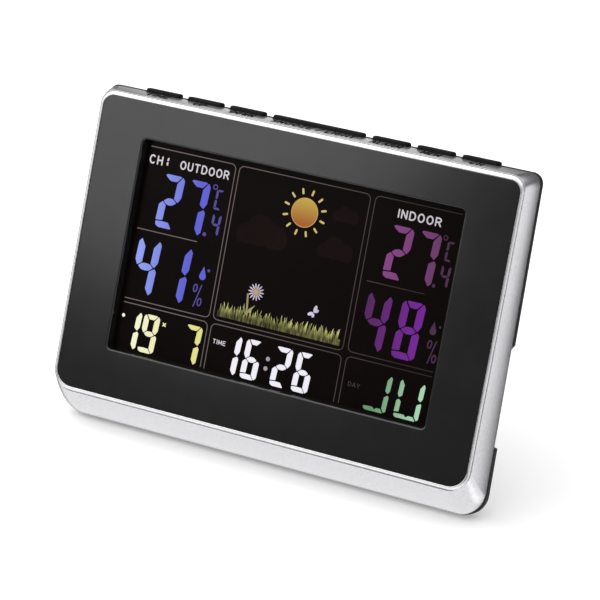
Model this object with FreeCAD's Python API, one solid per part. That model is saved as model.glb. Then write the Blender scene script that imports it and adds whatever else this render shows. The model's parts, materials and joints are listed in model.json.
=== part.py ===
import FreeCAD, Part
import math
import os

# Desktop home weather station with a colour display: a black front panel in a silver case,
# seven buttons along the top, a battery bay and a fold-out stand at the back.
#
# The model is drawn standing straight up, and leans back on its stand when it is written:
#   x  to the right, seen from the front
#   d  depth behind the face of the front panel (the second coordinate)
#   v  height along the panel, from the panel's centre (the third coordinate)
# All sizes are in millimetres. An outline is (half width, bottom, top, bottom radius, top radius).

os.makedirs("parts", exist_ok=True)

LEAN_DEG = 20.0             # how far the panel leans back in use

# Front
PANEL = (87.0, -56.5, 56.5, 7.0, 4.5)
PANEL_THICK = 2.0
WINDOW = (67.4, -38.5, 42.6, 1.8, 1.8)
COLLAR_WALL = 1.5           # wall round the window, down to the display
RING = (88.1, -57.7, 58.0, 7.6, 5.4)
RING_FRONT = -0.3
RING_BACK = 2.5
RING_EDGE = 0.4             # rounding of the ring's two front edges
FLANGE_BACK = 4.2           # back of the flange that carries the panel
FLANGE_OPENING = (71.5, -43.0, 47.0, 3.0, 3.0)
FIT_GAP = 0.05

# Case
CASE_FRONT = (88.5, -58.1, 58.4, 8.6, 5.8)
CASE_SEAM = (90.3, -68.1, 59.9, 10.0, 4.5)
CASE_FRONT_D = 0.5
SEAM_D = 12.0               # depth of the seam between case and cover at v = 0
SEAM_SLOPE = 0.0445         # the seam runs deeper towards the bottom
BULGE = 1.5                 # exponent of the band's swelling from front to seam
WALL = 2.0
COVER_SEAM = (90.65, -68.0, 60.25, 9.0, 4.2)
COVER_EDGE_D = 13.8         # where the cover's straight side wall ends, at v = 0
COVER_EDGE_SLOPE = 0.051
COVER_BACK = (80.0, -60.0, 50.0, 10.0, 8.0)
BACK_D = 27.5

# Side recesses of the cover
RECESS_X = 83.5
RECESS_BOTTOM = -41.3
RECESS_TOP = -2.8
RECESS_TAPER = 7.0
RECESS_FRONT = 1.5          # thickness of the wall that closes a recess towards the front

# Display stack, by depth
POLARIZER_D = (4.2, 4.4)
GLASS_D = (4.4, 6.6)
FILM_D = (6.6, 6.8)
GUIDE_D = (6.8, 9.8)
REFLECTOR_D = (9.8, 10.0)
BOARD_D = (10.6, 12.2)
GLASS = (70.0, -42.0, 46.0, 0.5, 0.5)
POLARIZER = (69.4, -41.4, 45.4, 0.5, 0.5)
GUIDE = (67.5, -39.0, 45.5, 0.5, 0.5)
HOLDER = (72.5, -46.5, 50.4, 1.5, 1.5)
MAIN_BOARD = (71.0, -46.0, 49.6, 1.0, 1.0)
BOARD_SCREW_X = (-60.0, 0.0, 60.0)
BOARD_SCREW_V = (-44.3, 48.2)
BOARD_SCREW_R = 0.9
BOARD_SCREW_TIP_D = 6.5
BOARD_SCREW_HEAD = 1.2
BOARD_SCREW_HEAD_R = (1.7, 1.0)     # lower row, upper row

# Light strips at both sides of the light guide, and the rubber connectors under the glass
LED_STRIP_X = (68.8, 69.6)
LED_STRIP_V = (-35.0, 41.0)
LED_X = (67.6, 68.8)
LED_D = (7.2, 9.4)
LEDS = 7
LED_FIRST_V = -33.0
LED_PITCH = 11.5
LED_LENGTH = 3.5
ZEBRA_X = 36.0
ZEBRA_HALF = 28.0
ZEBRA_V = (-41.6, -39.6)

# Parts behind the main board: round ones as (x, v, radius, height), square ones as
# (left, right, bottom, top, height), then a row of small capacitors
ROUND_PARTS = ((-6.0, -12.0, 9.0, 1.5), (42.0, -36.0, 3.2, 7.0), (52.0, -36.0, 2.5, 5.5))
SQUARE_PARTS = (
    (14.0, 24.0, -16.0, -8.0, 1.4),
    (30.0, 36.0, -22.0, -12.0, 1.4),
    (-34.0, -28.0, 10.0, 13.0, 1.3),
    (-30.0, -26.0, -34.0, -26.0, 2.0),
)
CAPACITORS = 6
CAPACITOR_X = -24.0
CAPACITOR_PITCH = 9.0
CAPACITOR_SIZE = (2.0, 0.7, 1.2)    # along x, d and v
CAPACITOR_V = -28.0

# Radio receiver with its aerial coil, climate sensor and buzzer
RADIO_BOARD = (-68.0, -44.0, -12.0, 4.0)
RADIO_BOARD_THICK = 1.0
RADIO_CAN = (-64.0, -54.0, -9.0, 1.0)
RADIO_HEIGHT = 3.0
AERIAL_X = -47.5
AERIAL_V = (-10.0, 2.0)
AERIAL_R = (1.8, 2.5)
AERIAL_HEIGHT = 3.5
SENSOR_BOARD_D = (13.6, 21.0)
SENSOR_BOARD_V = (-32.0, -12.0)
SENSOR_CHIP_D = (15.5, 18.5)
SENSOR_CHIP_V = (-24.0, -20.0)
BUZZER_X = -58.0
BUZZER_V = -24.0
BUZZER_R = 6.0
BUZZER_HEIGHT = 5.0
BUZZER_HOLE_R = 1.0

# Buttons: name, centre x, width
SMALL_BUTTON = 14.9
BUTTONS = (
    ("time", -66.5, SMALL_BUTTON),
    ("up", -48.3, SMALL_BUTTON),
    ("down", -30.05, SMALL_BUTTON),
    ("snooze", 0.0, 38.0),
    ("alarm", 30.05, SMALL_BUTTON),
    ("memory", 48.3, SMALL_BUTTON),
    ("channel", 66.5, SMALL_BUTTON),
)
BUTTON_D = (7.0, 11.0)
BUTTON_TOP = 61.4
BUTTON_BOTTOM = 56.3
BUTTON_FLANGE = 0.8         # thickness of the flange that holds a cap in, and how far it stands out
BUTTON_GAP = 0.15
BUTTON_CORNER_R = 1.2
BUTTON_EDGE_R = 0.5
BUTTON_OPENING_V = (50.0, 64.0)
BUTTON_BOARD_HALF = 77.0
BUTTON_BOARD_D = (5.0, 12.0)
BUTTON_BOARD_V = (50.4, 51.6)
SWITCH_SIDE = 4.5
SWITCH_TOP = 54.9
PLUNGER_R = 0.9
PLUNGER_GAP = 0.06
PLUNGER_DEPTH = 0.6         # how far a plunger reaches into its switch at rest
PLUNGER_WELL = 1.5

# Case screws
SCREW_X = 76.5
SCREW_V = (-54.0, 43.0)
BOSS_R = 3.2
BOSS_TOP_D = 16.0
COVER_BOSS_R = 4.2
SCREW_SEAT_D = 17.5
SCREW_HEAD_R = 2.6
SCREW_HEAD_BORE_R = 2.9
SCREW_R = 1.25
SCREW_HOLE_R = 1.5
SCREW_TIP_D = 8.0

# Battery bay: three AAA cells side by side
CELL_R = 5.2
CELL_LENGTH = 44.5
CELL_NUB = 0.8
CELL_D = 20.6
CELL_V = (12.5, 23.5, 34.5)
CONTACT = 0.4
SPRING_LENGTH = 3.0
BAY_HALF = CELL_LENGTH / 2 + SPRING_LENGTH / 2 + CONTACT
BAY_V = (6.8, 41.4)
BAY_FLOOR_D = 15.2
BAY_WALL = 3.0
DOOR_THICK = 1.5
DOOR_LEDGE = 1.9
DOOR_GAP = 0.15
DOOR_BARREL_R = 1.0
DOOR_PIVOT_R = 0.6
DOOR_PIVOT_GAP = 0.06
DOOR_PIVOT_LENGTH = 1.2

# Stand
STAND_HALF = 33.0
STAND_LENGTH = 52.5
STAND_AXIS_D = 25.0
STAND_AXIS_V = -53.5
STAND_INNER = 0.5           # inner face of the plate, from the hinge axis
STAND_OUTER = 2.3           # outer face of the plate, from the hinge axis
STAND_ROOT_OUTER = 1.5      # the same close to the hinge, where the open stand meets its stop
STAND_ROOT_LENGTH = 2.15
STAND_BARREL_R = 1.9
STAND_PIN_R = 1.25
STAND_PIN_HALF = 36.0
STAND_BORE_R = 1.3
STAND_SIDE_GAP = 0.5
STOP_GAP = 0.05
PAD_R = 1.6
PAD_OUT = 2.1               # centre of the round pad, from the hinge axis
PAD_ALONG = 49.0
POCKET_TOP = 1.5
POCKET_D = 24.3
POCKET_HINGE_D = 22.8
POCKET_HINGE_TOP = -50.0

# Feet and wall hangers
FOOT_X = 60.0
FOOT_SIZE = (18.0, 9.0)
FOOT_SETBACK = 3.0          # from the case's lowest edge back to the front of a foot
FOOT_BLOCK = 6.0
FOOT_STAND_PROUD = 0.8
HANGER_X = 56.0
HANGER_V = 26.0
HANGER_R = 4.0
HANGER_SLOT = 3.6
HANGER_RISE = 9.0

# Ferrite rod of the time-signal receiver, in the chin
FERRITE_D = 10.0
FERRITE_V = -56.5
FERRITE_R = 4.0
FERRITE_HALF = 32.0
CRADLE_X = 26.0
CRADLE_WIDTH = 3.0
WINDING_HALF = 13.0
WINDING_THICK = 1.3

# Vents: slots in the left-hand recess for the sensor, and on the back for the buzzer
VENT_WIDTH = 1.4
SENSOR_VENTS = 5
SENSOR_VENT_V = -33.0
SENSOR_VENT_PITCH = 5.0
SENSOR_VENT_D = (15.5, 20.5)
BUZZER_VENTS = 4
BUZZER_VENT_V = -30.0
BUZZER_VENT_PITCH = 4.0
BUZZER_VENT_X = (-64.0, -52.0)

# Power inlet, in the right-hand recess
JACK_V = -22.0
JACK_D = 17.0
JACK_HALF = 4.5
JACK_BORE_R = 2.75
JACK_BORE_DEPTH = 9.5
JACK_PIN_R = 0.65
JACK_HOLE_R = 3.0
JACK_LENGTH = 13.4


# ---------------------------------------------------------------- shapes

def vec(x, d, v):
    return FreeCAD.Vector(x, d, v)


def box(x0, x1, d0, d1, v0, v1):
    return Part.makeBox(x1 - x0, d1 - d0, v1 - v0, vec(x0, d0, v0))


def rod_along_x(x0, x1, d, v, radius):
    return Part.makeCylinder(radius, x1 - x0, vec(x0, d, v), vec(1, 0, 0))


def rod_along_d(x, v, d0, d1, radius):
    return Part.makeCylinder(radius, d1 - d0, vec(x, d0, v), vec(0, 1, 0))


def rod_along_v(x, d, v0, v1, radius):
    return Part.makeCylinder(radius, v1 - v0, vec(x, d, v0), vec(0, 0, 1))


def grown(outline, by):
    half, bottom, top, r_bottom, r_top = outline
    return (half + by, bottom - by, top + by, max(r_bottom + by, 0.3), max(r_top + by, 0.3))


def between(start, end, share):
    return tuple(a + (b - a) * share for a, b in zip(start, end))


def outline_wire(outline, depth=0.0, slope=0.0):
    """Closed wire of a rounded rectangle facing the front, in a plane that leans by slope."""
    half, bottom, top, r_bottom, r_top = outline
    corners = (
        (half, bottom, r_bottom, -90),
        (half, top, r_top, 0),
        (-half, top, r_top, 90),
        (-half, bottom, r_bottom, 180),
    )
    arcs = []
    for x, v, radius, start in corners:
        centre_x = x - math.copysign(radius, x)
        centre_v = v - math.copysign(radius, v)
        points = []
        for angle in (start, start + 45, start + 90):
            turn = math.radians(angle)
            points.append(vec(centre_x + radius * math.cos(turn), 0, centre_v + radius * math.sin(turn)))
        arcs.append(points)
    edges = []
    for index, points in enumerate(arcs):
        edges.append(Part.Arc(*points).toShape())
        edges.append(Part.makeLine(points[2], arcs[(index + 1) % 4][0]))
    wire = Part.Wire(edges)
    wire.rotate(vec(0, 0, 0), vec(1, 0, 0), math.degrees(math.atan(slope)))
    wire.translate(vec(0, depth, 0))
    return wire


def slab(outline, d0, d1):
    """Straight block with the outline, from depth d0 to depth d1."""
    return Part.Face(outline_wire(outline, d0)).extrude(vec(0, d1 - d0, 0))


def frame_slab(outer, inner, d0, d1):
    return slab(outer, d0, d1).cut(slab(inner, d0 - 1, d1 + 1))


def joined(shapes):
    first, *rest = shapes
    return first.multiFuse(rest).removeSplitter()


def mirrored(shape):
    return shape.mirror(vec(0, 0, 0), vec(1, 0, 0))


# ---------------------------------------------------------------- case

def band(inset, sections=7):
    """The swelling body of the silver case, from its front edge to the seam, less an inset."""
    wires = []
    for index in range(sections):
        share = index / (sections - 1)
        swell = 1 - (1 - share) ** BULGE
        outline = grown(between(CASE_FRONT, CASE_SEAM, swell), -inset)
        depth = CASE_FRONT_D + (SEAM_D - CASE_FRONT_D) * share
        wires.append(outline_wire(outline, depth, SEAM_SLOPE * share))
    return Part.makeLoft(wires, True, False)


def cover_body(inset, seam_overlap=0.0):
    """The body of the back cover: a straight side wall, then a shoulder to the flat back."""
    side = grown(COVER_SEAM, -inset)
    wires = [
        outline_wire(side, SEAM_D - seam_overlap, SEAM_SLOPE),
        outline_wire(side, COVER_EDGE_D, COVER_EDGE_SLOPE),
        outline_wire(grown(COVER_BACK, -inset), BACK_D - inset),
    ]
    return Part.makeLoft(wires, True, True)


def button_openings():
    holes = []
    for _, x, width in BUTTONS:
        half = width / 2 + BUTTON_GAP
        d0 = BUTTON_D[0] - BUTTON_GAP
        d1 = BUTTON_D[1] + BUTTON_GAP
        holes.append(box(x - half, x + half, d0, d1, *BUTTON_OPENING_V))
    return holes


def screw_places():
    return [(side * SCREW_X, v) for side in (-1, 1) for v in SCREW_V]


def case_frame():
    body = band(0)
    body = body.cut(slab(grown(RING, FIT_GAP), -1, RING_BACK))
    body = body.cut(slab(FLANGE_OPENING, 0, 40))
    behind_flange = box(-100, 100, FLANGE_BACK, 40, -80, 80)
    body = body.cut(band(WALL).common(behind_flange))
    bosses = [rod_along_d(x, v, FLANGE_BACK - 1, BOSS_TOP_D, BOSS_R) for x, v in screw_places()]
    for side in (-1, 1):
        x = side * CRADLE_X
        cradle = box(x - CRADLE_WIDTH / 2, x + CRADLE_WIDTH / 2, FLANGE_BACK - 1, FERRITE_D,
                     FERRITE_V - 8, FERRITE_V + 5)
        bosses.append(cradle.common(band(WALL / 2)))
    body = joined([body] + bosses)
    for x, v in screw_places():
        body = body.cut(rod_along_d(x, v, SCREW_TIP_D - 1, BOSS_TOP_D + 1, SCREW_R))
    body = body.cut(rod_along_x(-40, 40, FERRITE_D, FERRITE_V, FERRITE_R))
    for hole in button_openings():
        body = body.cut(hole)
    return body


def recess_cutter(side):
    """Space of one side recess: square at its lower end and slanted at its upper end."""
    far = 100.0
    points = [
        vec(far, 0, RECESS_BOTTOM),
        vec(RECESS_X, 0, RECESS_BOTTOM),
        vec(RECESS_X, 0, RECESS_TOP - RECESS_TAPER),
        vec(COVER_SEAM[0], 0, RECESS_TOP),
        vec(far, 0, RECESS_TOP),
    ]
    face = Part.Face(Part.makePolygon(points + points[:1]))
    whole = face.extrude(vec(0, 40, 0))
    # behind the case's side wall the space starts at the seam, and further in a wall's thickness later
    behind_wall = slab(grown(COVER_SEAM, 20), 0, 40)
    behind_wall.rotate(vec(0, 0, 0), vec(1, 0, 0), math.degrees(math.atan(SEAM_SLOPE)))
    behind_wall.translate(vec(0, SEAM_D + RECESS_FRONT, 0))
    beside_wall = box(CASE_SEAM[0] - WALL, far, 0, 40, RECESS_BOTTOM - 1, RECESS_TOP + 1)
    cutter = whole.common(behind_wall.fuse(beside_wall))
    return cutter if side > 0 else mirrored(cutter)


def back_cover():
    outer = cover_body(0)
    shell = outer.cut(cover_body(WALL, 5.0))
    blocks = []
    for side in (-1, 1):
        near, far = sorted((side * (RECESS_X - WALL), side * 95.0))
        blocks.append(box(near, far, 5, 40, RECESS_BOTTOM - WALL, RECESS_TOP + WALL))
        for v in SCREW_V:
            blocks.append(rod_along_d(side * SCREW_X, v, BOSS_TOP_D, BACK_D, COVER_BOSS_R))
    # battery bay
    blocks.append(box(-BAY_HALF - BAY_WALL, BAY_HALF + BAY_WALL, BAY_FLOOR_D - 1.3, BACK_D,
                      BAY_V[0] - BAY_WALL, BAY_V[1] + BAY_WALL))
    # pocket of the stand, with thicker ends for the hinge pin
    side_x = STAND_PIN_HALF + WALL
    pocket_bottom = STAND_AXIS_V - stand_underside_drop() - STOP_GAP
    blocks.append(box(-side_x, side_x, POCKET_D - WALL, BACK_D, pocket_bottom - WALL, POCKET_TOP + WALL))
    blocks.append(box(-side_x, side_x, POCKET_HINGE_D - WALL, BACK_D, pocket_bottom - WALL,
                      POCKET_HINGE_TOP + WALL))
    body = joined([shell] + [block.common(outer) for block in blocks])

    for side in (-1, 1):
        body = body.cut(recess_cutter(side))
        for v in SCREW_V:
            body = body.cut(rod_along_d(side * SCREW_X, v, SCREW_SEAT_D, BACK_D + 1, SCREW_HEAD_BORE_R))
            body = body.cut(rod_along_d(side * SCREW_X, v, 5, BACK_D, SCREW_HOLE_R))
        body = body.cut(hanger_cutter(side * HANGER_X))
    # battery bay and the seat of its door
    body = body.cut(box(-BAY_HALF, BAY_HALF, BAY_FLOOR_D, BACK_D + 1, *BAY_V))
    ledge = DOOR_LEDGE + DOOR_GAP
    door_x = BAY_HALF + ledge
    body = body.cut(box(-door_x, door_x, BACK_D - DOOR_THICK, BACK_D + 1, BAY_V[0] - ledge, BAY_V[1] + ledge))
    axis_d, axis_v = door_axis()
    barrel_space = DOOR_BARREL_R + DOOR_GAP
    body = body.cut(box(-door_x, door_x, axis_d - barrel_space, BACK_D + 1,
                        axis_v - barrel_space, axis_v + barrel_space))
    pivot_x = door_x + DOOR_PIVOT_LENGTH
    body = body.cut(rod_along_x(-pivot_x, pivot_x, axis_d, axis_v, DOOR_PIVOT_R + DOOR_PIVOT_GAP))
    # pocket of the stand
    pocket_x = STAND_HALF + STAND_SIDE_GAP
    body = body.cut(box(-pocket_x, pocket_x, POCKET_D, BACK_D + 1, pocket_bottom, POCKET_TOP))
    body = body.cut(box(-pocket_x, pocket_x, POCKET_HINGE_D, BACK_D + 1, pocket_bottom, POCKET_HINGE_TOP))
    body = body.cut(rod_along_x(-STAND_PIN_HALF, STAND_PIN_HALF, STAND_AXIS_D, STAND_AXIS_V, STAND_PIN_R))
    # holes for the power plug, the air to the sensor and the sound of the buzzer
    body = body.cut(rod_along_x(RECESS_X - 5, RECESS_X + 5, JACK_D, JACK_V, JACK_HOLE_R))
    for index in range(SENSOR_VENTS):
        v = SENSOR_VENT_V + SENSOR_VENT_PITCH * index
        body = body.cut(box(-RECESS_X - 5, -RECESS_X + 5, *SENSOR_VENT_D, v, v + VENT_WIDTH))
    for index in range(BUZZER_VENTS):
        v = BUZZER_VENT_V + BUZZER_VENT_PITCH * index
        body = body.cut(box(*BUZZER_VENT_X, BACK_D - 5, BACK_D + 1, v, v + VENT_WIDTH))
    for hole in button_openings():
        body = body.cut(hole)
    return body


def hanger_cutter(x):
    """Keyhole for a wall screw: a round hole with a narrow slot above it."""
    hole = rod_along_d(x, HANGER_V, BACK_D - 5, BACK_D + 1, HANGER_R)
    slot_top = HANGER_V + HANGER_RISE
    slot = box(x - HANGER_SLOT / 2, x + HANGER_SLOT / 2, BACK_D - 5, BACK_D + 1, HANGER_V, slot_top)
    end = rod_along_d(x, slot_top, BACK_D - 5, BACK_D + 1, HANGER_SLOT / 2)
    return joined([hole, slot, end])


def case_screws():
    screws = []
    for x, v in screw_places():
        head = rod_along_d(x, v, SCREW_SEAT_D, SCREW_SEAT_D + 1.8, SCREW_HEAD_R)
        slot_a = box(x - 1.6, x + 1.6, SCREW_SEAT_D + 1.0, SCREW_SEAT_D + 3, v - 0.3, v + 0.3)
        slot_b = box(x - 0.3, x + 0.3, SCREW_SEAT_D + 1.0, SCREW_SEAT_D + 3, v - 1.6, v + 1.6)
        shank = rod_along_d(x, v, SCREW_TIP_D, SCREW_SEAT_D, SCREW_R)
        screws.append(joined([head, shank]).cut(slot_a).cut(slot_b))
    return Part.makeCompound(screws)


# ---------------------------------------------------------------- front and display

def front_panel():
    plate = slab(PANEL, 0, PANEL_THICK)
    collar = slab(grown(WINDOW, COLLAR_WALL), PANEL_THICK - 0.5, POLARIZER_D[0])
    return joined([plate, collar]).cut(slab(WINDOW, -1, 10))


def panel_adhesive():
    return frame_slab(grown(PANEL, -1.5), grown(FLANGE_OPENING, 1.0), PANEL_THICK, RING_BACK)


def bezel_ring():
    ring = frame_slab(RING, grown(PANEL, FIT_GAP), RING_FRONT, RING_BACK)
    front_edges = [edge for edge in ring.Edges
                   if abs(edge.BoundBox.YMax - RING_FRONT) < 0.01 and abs(edge.BoundBox.YMin - RING_FRONT) < 0.01]
    return ring.makeFillet(RING_EDGE, front_edges)


def lcd_holder():
    inner = grown(GLASS, 0.1)
    body = frame_slab(HOLDER, inner, GLASS_D[0], BOARD_D[0])
    for x in BOARD_SCREW_X:
        for v in BOARD_SCREW_V:
            body = body.cut(rod_along_d(x, v, 6.0, 20, BOARD_SCREW_R))
    return body


def front_polarizer():
    return slab(POLARIZER, *POLARIZER_D)


def lcd_glass():
    return slab(GLASS, *GLASS_D)


def colour_film():
    return slab(GUIDE, *FILM_D)


def light_guide():
    return slab(GUIDE, *GUIDE_D)


def reflector_sheet():
    return slab(GUIDE, *REFLECTOR_D)


def led_strips():
    strips = []
    for side in (-1, 1):
        near, far = sorted(side * x for x in LED_STRIP_X)
        solids = [box(near, far, *GUIDE_D, *LED_STRIP_V)]
        near, far = sorted(side * x for x in LED_X)
        for index in range(LEDS):
            v = LED_FIRST_V + LED_PITCH * index
            solids.append(box(near, far, *LED_D, v, v + LED_LENGTH))
        strips.append(joined(solids))
    return Part.makeCompound(strips)


def zebra_connectors():
    strips = []
    for x in (-ZEBRA_X, ZEBRA_X):
        strips.append(box(x - ZEBRA_HALF, x + ZEBRA_HALF, GLASS_D[1], BOARD_D[0], *ZEBRA_V))
    return Part.makeCompound(strips)


# ---------------------------------------------------------------- boards and electronics

def main_board():
    board = slab(MAIN_BOARD, *BOARD_D)
    for x in BOARD_SCREW_X:
        for v in BOARD_SCREW_V:
            board = board.cut(rod_along_d(x, v, 5, 20, BOARD_SCREW_R + 0.2))
    return board


def main_board_parts():
    back = BOARD_D[1]
    parts = [rod_along_d(x, v, back, back + height, radius) for x, v, radius, height in ROUND_PARTS]
    for left, right, bottom, top, height in SQUARE_PARTS:
        parts.append(box(left, right, back, back + height, bottom, top))
    size_x, size_d, size_v = CAPACITOR_SIZE
    for index in range(CAPACITORS):
        x = CAPACITOR_X + CAPACITOR_PITCH * index
        parts.append(box(x, x + size_x, back, back + size_d, CAPACITOR_V, CAPACITOR_V + size_v))
    return Part.makeCompound(parts)


def board_screws():
    screws = []
    for x in BOARD_SCREW_X:
        for v in BOARD_SCREW_V:
            head_r = BOARD_SCREW_HEAD_R[1 if v > 0 else 0]
            head = rod_along_d(x, v, BOARD_D[1], BOARD_D[1] + BOARD_SCREW_HEAD, head_r)
            shank = rod_along_d(x, v, BOARD_SCREW_TIP_D, BOARD_D[1], BOARD_SCREW_R)
            screws.append(joined([head, shank]))
    return Part.makeCompound(screws)


def rf_receiver():
    back = BOARD_D[1]
    left, right, bottom, top = RADIO_BOARD
    board = box(left, right, back, back + RADIO_BOARD_THICK, bottom, top)
    left, right, bottom, top = RADIO_CAN
    can = box(left, right, back + RADIO_BOARD_THICK / 2, back + RADIO_HEIGHT, bottom, top)
    return joined([board, can])


def rf_antenna_coil():
    depth = BOARD_D[1] + AERIAL_HEIGHT
    bottom, top = AERIAL_V
    bore_r, outer_r = AERIAL_R
    turns = rod_along_v(AERIAL_X, depth, bottom, top, outer_r)
    return turns.cut(rod_along_v(AERIAL_X, depth, bottom - 1, top + 1, bore_r))


def ferrite_rod():
    return rod_along_x(-FERRITE_HALF, FERRITE_HALF, FERRITE_D, FERRITE_V, FERRITE_R)


def ferrite_coil():
    outer = rod_along_x(-WINDING_HALF, WINDING_HALF, FERRITE_D, FERRITE_V, FERRITE_R + WINDING_THICK)
    return outer.cut(rod_along_x(-WINDING_HALF - 1, WINDING_HALF + 1, FERRITE_D, FERRITE_V, FERRITE_R))


def climate_sensor():
    wall = -(RECESS_X - WALL)
    board = box(wall, wall + 1.0, *SENSOR_BOARD_D, *SENSOR_BOARD_V)
    chip = box(wall + 0.5, wall + 2.2, *SENSOR_CHIP_D, *SENSOR_CHIP_V)
    return joined([board, chip])


def buzzer():
    end = BOARD_D[1] + BUZZER_HEIGHT
    body = rod_along_d(BUZZER_X, BUZZER_V, BOARD_D[1], end, BUZZER_R)
    return body.cut(rod_along_d(BUZZER_X, BUZZER_V, end - 1.0, end + 1.0, BUZZER_HOLE_R))


def dc_jack():
    """Power inlet: a block with a round socket and a centre pin."""
    end = RECESS_X - WALL
    body = box(end - JACK_LENGTH, end, BOARD_D[1], JACK_D + JACK_HALF, JACK_V - JACK_HALF, JACK_V + JACK_HALF)
    socket = rod_along_x(end - JACK_BORE_DEPTH, end + 1, JACK_D, JACK_V, JACK_BORE_R)
    pin = rod_along_x(end - JACK_BORE_DEPTH - 1, end - 1, JACK_D, JACK_V, JACK_PIN_R)
    return joined([body.cut(socket), pin])


# ---------------------------------------------------------------- buttons

def button_board():
    return box(-BUTTON_BOARD_HALF, BUTTON_BOARD_HALF, *BUTTON_BOARD_D, *BUTTON_BOARD_V)


def tact_switches():
    middle = sum(BUTTON_D) / 2
    half = SWITCH_SIDE / 2
    switches = []
    for _, x, _ in BUTTONS:
        body = box(x - half, x + half, middle - half, middle + half, BUTTON_BOARD_V[1], SWITCH_TOP)
        well = rod_along_v(x, middle, SWITCH_TOP - PLUNGER_WELL, SWITCH_TOP + 1, PLUNGER_R + PLUNGER_GAP)
        switches.append(body.cut(well))
    return Part.makeCompound(switches)


def button_cap(x, width):
    half = width / 2
    body = box(x - half, x + half, BUTTON_D[0], BUTTON_D[1], BUTTON_BOTTOM, BUTTON_TOP)
    upright = [edge for edge in body.Edges if edge.BoundBox.ZLength > 1]
    body = body.makeFillet(BUTTON_CORNER_R, upright)
    top = [edge for edge in body.Edges if edge.BoundBox.ZMin > BUTTON_TOP - 0.01]
    body = body.makeFillet(BUTTON_EDGE_R, top)
    out = BUTTON_FLANGE
    flange = box(x - half - out, x + half + out, BUTTON_D[0] - out, BUTTON_D[1] + out,
                 BUTTON_BOTTOM, BUTTON_BOTTOM + BUTTON_FLANGE)
    return joined([body, flange])


def switch_plunger(x):
    return rod_along_v(x, sum(BUTTON_D) / 2, SWITCH_TOP - PLUNGER_DEPTH, BUTTON_BOTTOM, PLUNGER_R)


# ---------------------------------------------------------------- batteries

def battery(index):
    """One AAA cell; the middle one lies the other way round."""
    v = CELL_V[index]
    plus = 1 if index % 2 == 0 else -1
    tip = plus * (BAY_HALF - CONTACT)
    shoulder = tip - plus * CELL_NUB
    tail = tip - plus * CELL_LENGTH
    body = rod_along_x(min(shoulder, tail), max(shoulder, tail), CELL_D, v, CELL_R)
    body = body.makeFillet(0.6, [edge for edge in body.Edges if edge.BoundBox.XLength < 0.01])
    nub = rod_along_x(min(shoulder, tip), max(shoulder, tip), CELL_D, v, 1.9)
    return joined([body, nub])


def battery_springs():
    """Conical springs at the flat ends of the cells, as plain hollow cones."""
    springs = []
    for index, v in enumerate(CELL_V):
        minus = -1 if index % 2 == 0 else 1
        base = minus * (BAY_HALF - CONTACT)
        direction = vec(-minus, 0, 0)
        outer = Part.makeCone(3.4, 2.0, SPRING_LENGTH, vec(base, CELL_D, v), direction)
        inner = Part.makeCone(2.9, 1.5, SPRING_LENGTH, vec(base, CELL_D, v), direction)
        springs.append(outer.cut(inner))
    return Part.makeCompound(springs)


def battery_contacts():
    plates = []
    low, middle, high = CELL_V
    for side, v0, v1 in ((-1, low, low), (-1, middle, high), (1, low, middle), (1, high, high)):
        near, far = sorted((side * BAY_HALF, side * (BAY_HALF - CONTACT)))
        plates.append(box(near, far, BAY_FLOOR_D, 25.4, v0 - 4.4, v1 + 4.4))
    return Part.makeCompound(plates)


def door_axis():
    """Depth and height of the door's hinge line."""
    return BACK_D - DOOR_BARREL_R, BAY_V[0] - DOOR_LEDGE + DOOR_BARREL_R


def battery_door():
    axis_d, axis_v = door_axis()
    half = BAY_HALF + DOOR_LEDGE
    top = BAY_V[1] + DOOR_LEDGE
    plate = box(-half, half, BACK_D - DOOR_THICK, BACK_D, axis_v, top)
    barrel = rod_along_x(-half, half, axis_d, axis_v, DOOR_BARREL_R)
    pivot_x = half + DOOR_PIVOT_LENGTH
    pivots = rod_along_x(-pivot_x, pivot_x, axis_d, axis_v, DOOR_PIVOT_R)
    latch = box(-6, 6, BACK_D - 5.0, BACK_D - 1.0, BAY_V[1] - 1.6, BAY_V[1] - 2 * DOOR_GAP)
    door = joined([plate, barrel, pivots, latch])
    for index in range(4):
        v = top - 4.0 - 1.6 * index
        door = door.cut(box(-7, 7, BACK_D - 0.4, BACK_D + 1, v, v + 0.8))
    return door


# ---------------------------------------------------------------- stand and feet

def to_world(d, v):
    """Depth and height of a point once the panel leans back."""
    lean = math.radians(LEAN_DEG)
    return d * math.cos(lean) + v * math.sin(lean), v * math.cos(lean) - d * math.sin(lean)


def ground_height():
    """Height of the table under the leaning case: the feet lift its lowest edge a little."""
    lowest_v = COVER_SEAM[1]
    lowest_d = COVER_EDGE_D - COVER_EDGE_SLOPE * lowest_v
    return to_world(lowest_d, lowest_v)[1] - FOOT_STAND_PROUD


def stand_dip_deg():
    """Angle between the open stand and the table, so that its pad touches the table."""
    hinge = to_world(STAND_AXIS_D, STAND_AXIS_V)[1] - ground_height()
    reach = math.hypot(PAD_ALONG, PAD_OUT)
    return math.degrees(math.asin((hinge - PAD_R) / reach) - math.atan2(PAD_OUT, PAD_ALONG))


def stand_fold_deg():
    """Angle the stand turns between folded away and open."""
    return 90.0 - LEAN_DEG + stand_dip_deg()


def stand_underside_drop():
    """How far below the hinge axis the open stand's underside passes the edge of the pocket."""
    rise = math.radians(LEAN_DEG - stand_dip_deg())
    along = (BACK_D - STAND_AXIS_D - STAND_OUTER * math.sin(rise)) / math.cos(rise)
    return STAND_OUTER * math.cos(rise) - along * math.sin(rise)


def opened(shape):
    """Turns a piece of the folded stand to its open place."""
    shape.rotate(vec(0, STAND_AXIS_D, STAND_AXIS_V), vec(1, 0, 0), -stand_fold_deg())
    return shape


def pad_rod(radius, half):
    return rod_along_x(-half, half, STAND_AXIS_D + PAD_OUT, STAND_AXIS_V + PAD_ALONG, radius)


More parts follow.
